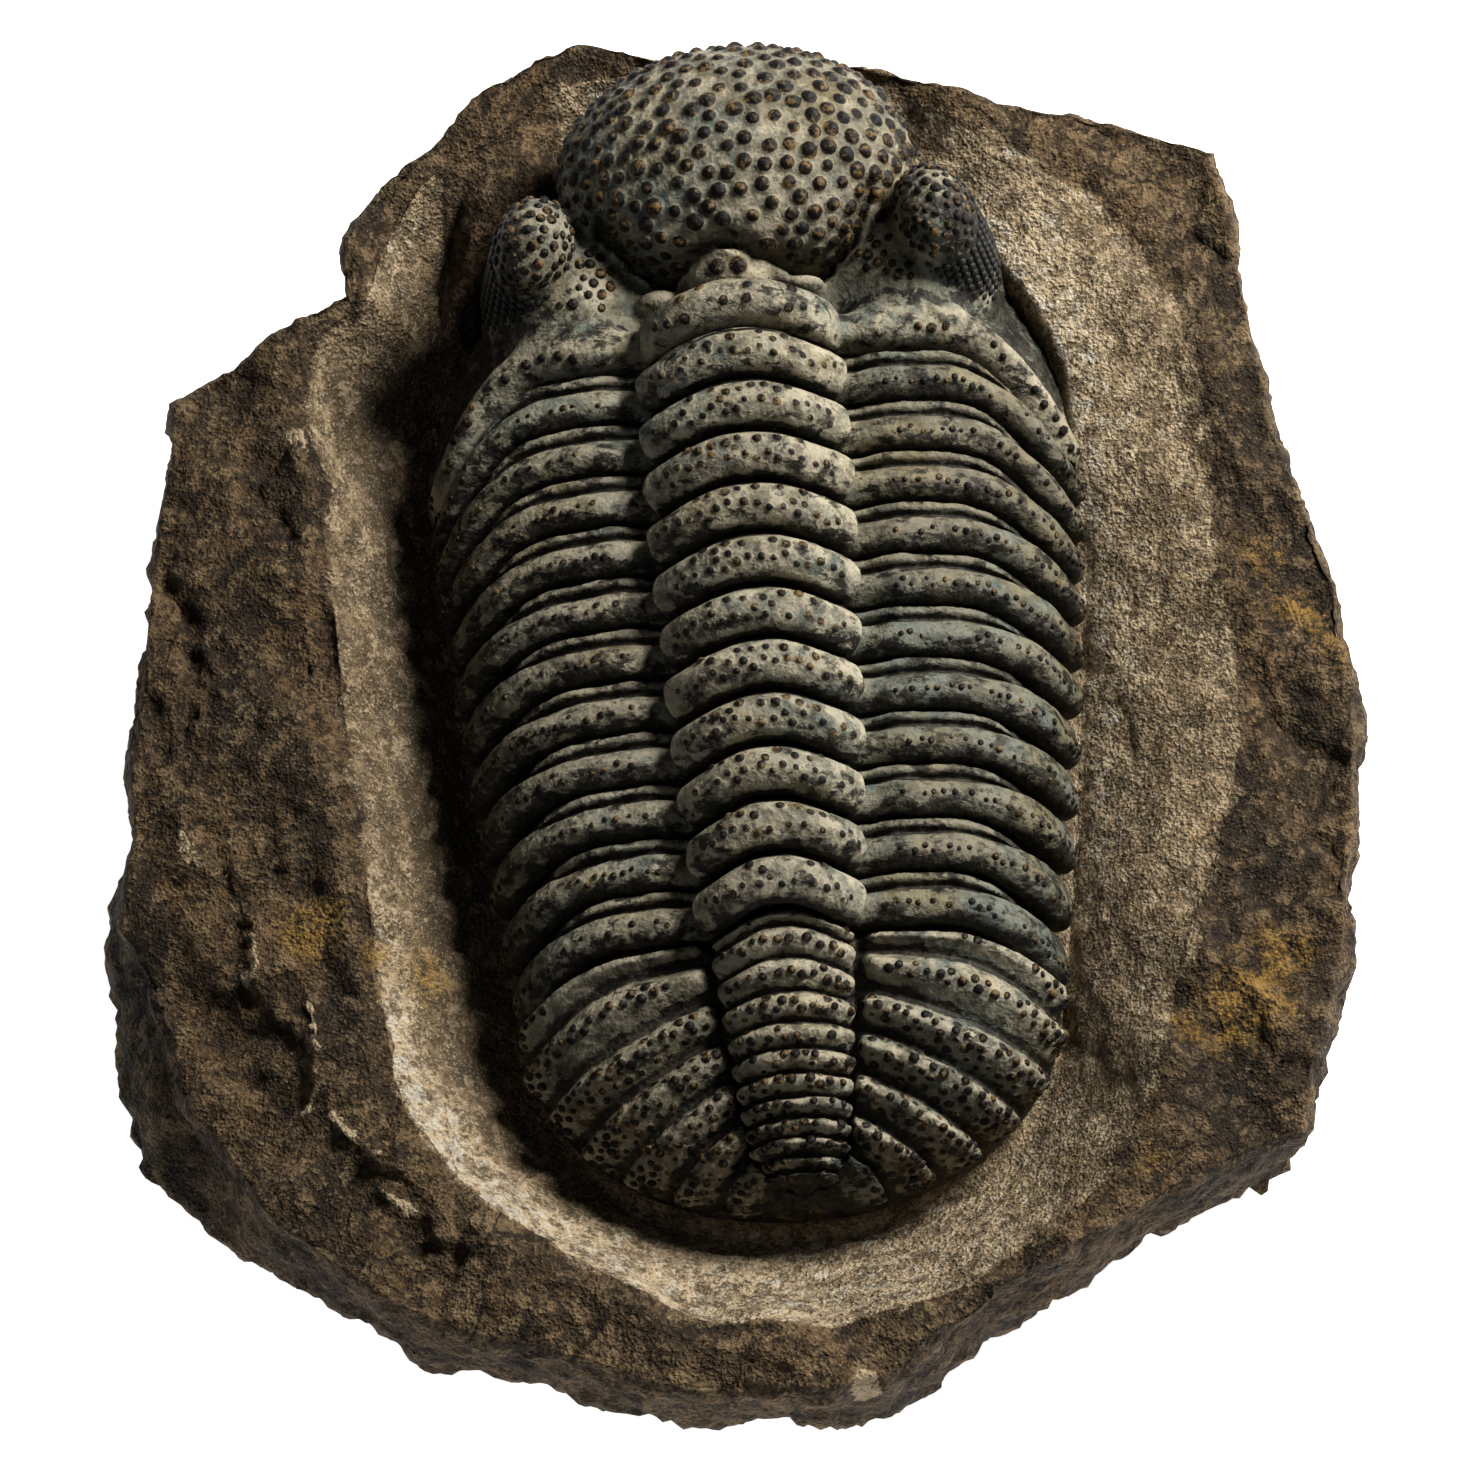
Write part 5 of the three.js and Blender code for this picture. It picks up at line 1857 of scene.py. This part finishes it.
        stops = np.array([0.0, 1.5, 9.0, 17.0, self.waist_z, self.brow_z])
        outs = np.stack([
            edge - undercut - 1.5, edge - undercut, edge - 0.45 * undercut, edge - 0.1 * undercut, edge,
            edge - 0.4 - chipped,
        ], axis=-1)
        height = np.concatenate([np.linspace(0.0, 3.0, 4), np.linspace(4.0, self.brow_z, 34)])
        r = np.stack([np.interp(height, stops, out) for out in outs])
        x, y = places(r)
        middle = bell(height - 13.0, 9.0)[None, :]
        r = r + self.side_lumps * middle * (self.lumps(x, y, height[None, :]) - 1)
        level = height[None, :] / self.brow_z
        falls = self.face(*places(shoulder[:, None])) - FACE_Z
        z = height[None, :] + falls * level**3
        stretch(r, z, 1.5 * ease(0.5, 5.0, height)[None, :], 0.0, 0.8 * natural_pale)
        t = np.linspace(0.12, 1.0, 5)[None, :]
        r = shoulder[:, None] * t + (edge - 0.4 - chipped)[:, None] * (1 - t)
        z = self.face(*places(r)) - (FACE_Z - self.brow_z) * (1 - np.sin(t * np.pi / 2))
        stretch(r, z, 1.2, 0.0, natural_pale)
        t = np.linspace(0.0, 1.0, 34)[None, 1:]
        r = shoulder[:, None] * (1 - t) + rim[:, None] * t
        brow = ease(4.0, 0.0, r - rim[:, None])
        drop = mix(1.2, 0.4, gentle)
        x, y = places(r)
        z = self.face(x, y) - drop * brow**2
        stretch(r, z, mix(1.4, 0.7, brow), share_cut(r), natural_pale)
        t = np.linspace(1.0, 0.0, 44)[None, :]
        r = (bed + self.dish_foot)[:, None] * (1 - t) + (rim - 0.15)[:, None] * t
        x, y = places(r)
        floor = DISH_Z + self.filled_side[2] * bell(turned_from(self.filled_side[0]), self.filled_side[1])
        wall = mix(floor, self.face(x, y) - drop - 0.1, t ** mix(1.2, 0.8, gentle))
        lx, ly, across, along, rise, proud = self.lump
        lump = rise * np.exp(-(((x - lx) / across) ** 4) - ((y - ly) / along) ** 4)
        stood = np.minimum(DISH_Z + lump * ease(0.0, 0.4, t), FACE_Z + proud)
        z = np.maximum(wall, stood)
        natural = ease(0.35, 0.75, lump / rise)
        cut = mix(share_cut(r), 0.0, natural)
        # On the left, the dish is made darker further down from the rim.
        darker_down_left_wall = ease(0.1, -0.6, ways[:, :1]) * ease(1.5, 7.0, rim[:, None] - r)
        pale = mix(cut_pale * (1 - 0.8 * darker_down_left_wall) + 0.45 * gentle * ease(0.6, 0.0, t), natural_pale, natural)
        stretch(r, z, mix(mix(0.42, 0.55, t**2), 0.9, natural), cut, pale)
        foot = BED_Z + (floor - DISH_Z) * np.array([[0.6, 0.2, 0.0]])
        stretch(bed[:, None] - np.array([[0.3, 0.9, 1.5]]), foot, 0.1, 0.8, 0.3)
        t = np.array([0.9, 0.75, 0.55, 0.3, 0.02])[None, :]
        dome = 24.0 + 10.0 * (1 - t**2.3) ** (1 / 2.3)
        stretch(bed[:, None] * t, dome, 0.0, 0.5, 0.3)
        loops = np.concatenate(blocks, axis=1).transpose(1, 0, 2)
        points, faces = closed_loft(loops)
        points = self.clear_of_front_lobe(points)
        masks = {name: with_hubs(np.concatenate(look, axis=1).T) for name, look in looks.items()}
        masks |= {"rusty": self.spots(points, self.rust_spots), "chipped": self.chipped(points)}
        piece = fine_object("rock_block", points, faces, masks)
        self.weather(piece, 3, 1.0, 0.9, 0.75, lump_scale=105.0, grain_scale=560.0)
        self.settle(piece, ["rock_matrix"], Slot.ROCK)
        return piece

    @staticmethod
    def spots(points: Array, places: tuple) -> Array:
        """Return how strongly each point belongs to one of some round places."""
        strength = np.zeros(len(points))
        for x, y, width, most in places:
            below = 0.6 * np.minimum(points[:, 2] - 31.0, 0.0)
            near = np.hypot(np.hypot(points[:, 0] - x, points[:, 1] - y), below)
            strength = np.maximum(strength, most * np.exp(-((near / (1.4 * width)) ** 2)))
        return strength

    def chipped(self, points: Array) -> Array:
        """Return how strongly each point is chipped pale, in spots and along the ridges."""
        strength = self.spots(points, self.chip_spots)
        for line, _ in self.ridges:
            near = bell(self.off_ragged(points[:, 0], points[:, 1], line), 1.5)
            strength = np.maximum(strength, 0.56 * near * ease(28.0, 32.0, points[:, 2]))
        return strength

    @staticmethod
    def clear_of_front_lobe(points: Array) -> Array:
        """Sink the rock under the front lobe of the head, where it would stand into it."""
        p, q, z = to_animal(points)
        (cp, cq, cz), (across, along, up) = FRONT_LOBE
        share = ((p - cp) / (across + 0.1)) ** 2 + ((q - cq) / (along + 0.1)) ** 2
        under = cz - (up + 0.1) * np.sqrt(np.clip(1 - share, 0.0, 1.0))
        sunk = np.where(share < 1, np.minimum(z, under), z)
        return np.column_stack([points[:, :2], sunk])


@dataclass
class Studio:
    """The camera, the floor and the lights. Lengths are in metres."""

    floor_finish: bpy.types.Material
    target: tuple = (0.00126, -0.00555, 0.038)
    towards_camera: tuple = (0.0593, -0.342, 0.938)
    distance: float = 0.6
    lens: float = 147.04
    lit_place: tuple = (0.0, 0.0, 0.03)
    floor_reach: float = 3.0
    air: tuple = (0.9, 0.95, 1.0, 1.0)
    air_strength: float = 0.035

    def build(self) -> None:
        """Place the camera, the floor and the lights."""
        scene = bpy.context.scene
        scene.view_settings.view_transform = "Standard"
        camera = bpy.data.cameras.new("camera")
        camera.lens = self.lens
        camera.sensor_width = 36.0
        camera.clip_start = 0.01
        holder = bpy.data.objects.new("camera", camera)
        back = Vector(self.towards_camera).normalized()
        right = Vector((0.0, 1.0, 0.0)).cross(back).normalized()
        up = back.cross(right)
        turn = Matrix((right, up, back)).transposed().to_4x4()
        holder.matrix_world = Matrix.Translation(Vector(self.target) + back * self.distance) @ turn
        scene.collection.objects.link(holder)
        scene.camera = holder
        self.floor()
        self.light("key", (0.33, 0.25, 0.36), 0.19, 5.7, (1.0, 0.97, 0.92))
        self.light("fill", (-0.35, -0.55, 0.75), 0.9, 0.5, (0.93, 0.96, 1.0))
        world = bpy.data.worlds.new("studio_air")
        world.use_nodes = True
        background = world.node_tree.nodes["Background"]
        background.inputs["Color"].default_value = self.air
        background.inputs["Strength"].default_value = self.air_strength
        scene.world = world

    def floor(self) -> None:
        """Lay the pale floor under the block."""
        mesh = bpy.data.meshes.new("floor")
        corners = [(x * self.floor_reach, y * self.floor_reach, 0.0) for x, y in CORNERS]
        mesh.from_pydata(corners, [], [(0, 1, 2, 3)])
        floor = bpy.data.objects.new("floor", mesh)
        floor.data.materials.append(self.floor_finish)
        bpy.context.scene.collection.objects.link(floor)

    def light(self, name: str, place: tuple, size: float, power: float, colour: Colour) -> None:
        """Add a soft light that faces the block.

        Args:
            name: The light's name.
            place: Where it stands.
            size: Its width.
            power: Its power in watts.
            colour: Its colour.
        """
        lamp = bpy.data.lights.new(name, "AREA")
        lamp.shape = "DISK"
        lamp.size = size
        lamp.energy = power
        lamp.color = colour
        holder = bpy.data.objects.new(name, lamp)
        turn = (Vector(place) - Vector(self.lit_place)).to_track_quat("Z", "Y")
        holder.matrix_world = Matrix.Translation(Vector(place)) @ turn.to_matrix().to_4x4()
        bpy.context.scene.collection.objects.link(holder)


def main() -> None:
    """Build the studio, the block and the animal, in order."""
    logging.basicConfig(level=logging.INFO, format="%(name)s %(message)s", stream=sys.stdout)
    groups = {"grain": stone_grain(), "patches": ragged_patches()}
    shell = ShellFinish(**groups).build()
    trees = {"warts": swelling_warts(), "small_warts": seated_warts(), "surface": weathered_surface()}
    Studio(FloorFinish(**groups).build()).build()
    RockMatrix(RockFinish(**groups).build(), **trees).build()
    HeadShield(shell, **trees, lens_finish=LensFinish(**groups).build(), lenses=lens_rows()).build()
    for number in range(1, RING_COUNT + 1):
        BodyRing(shell, **trees, number=number).build()
    TailShield(shell, **trees).build()


if __name__ == "__main__":
    main()
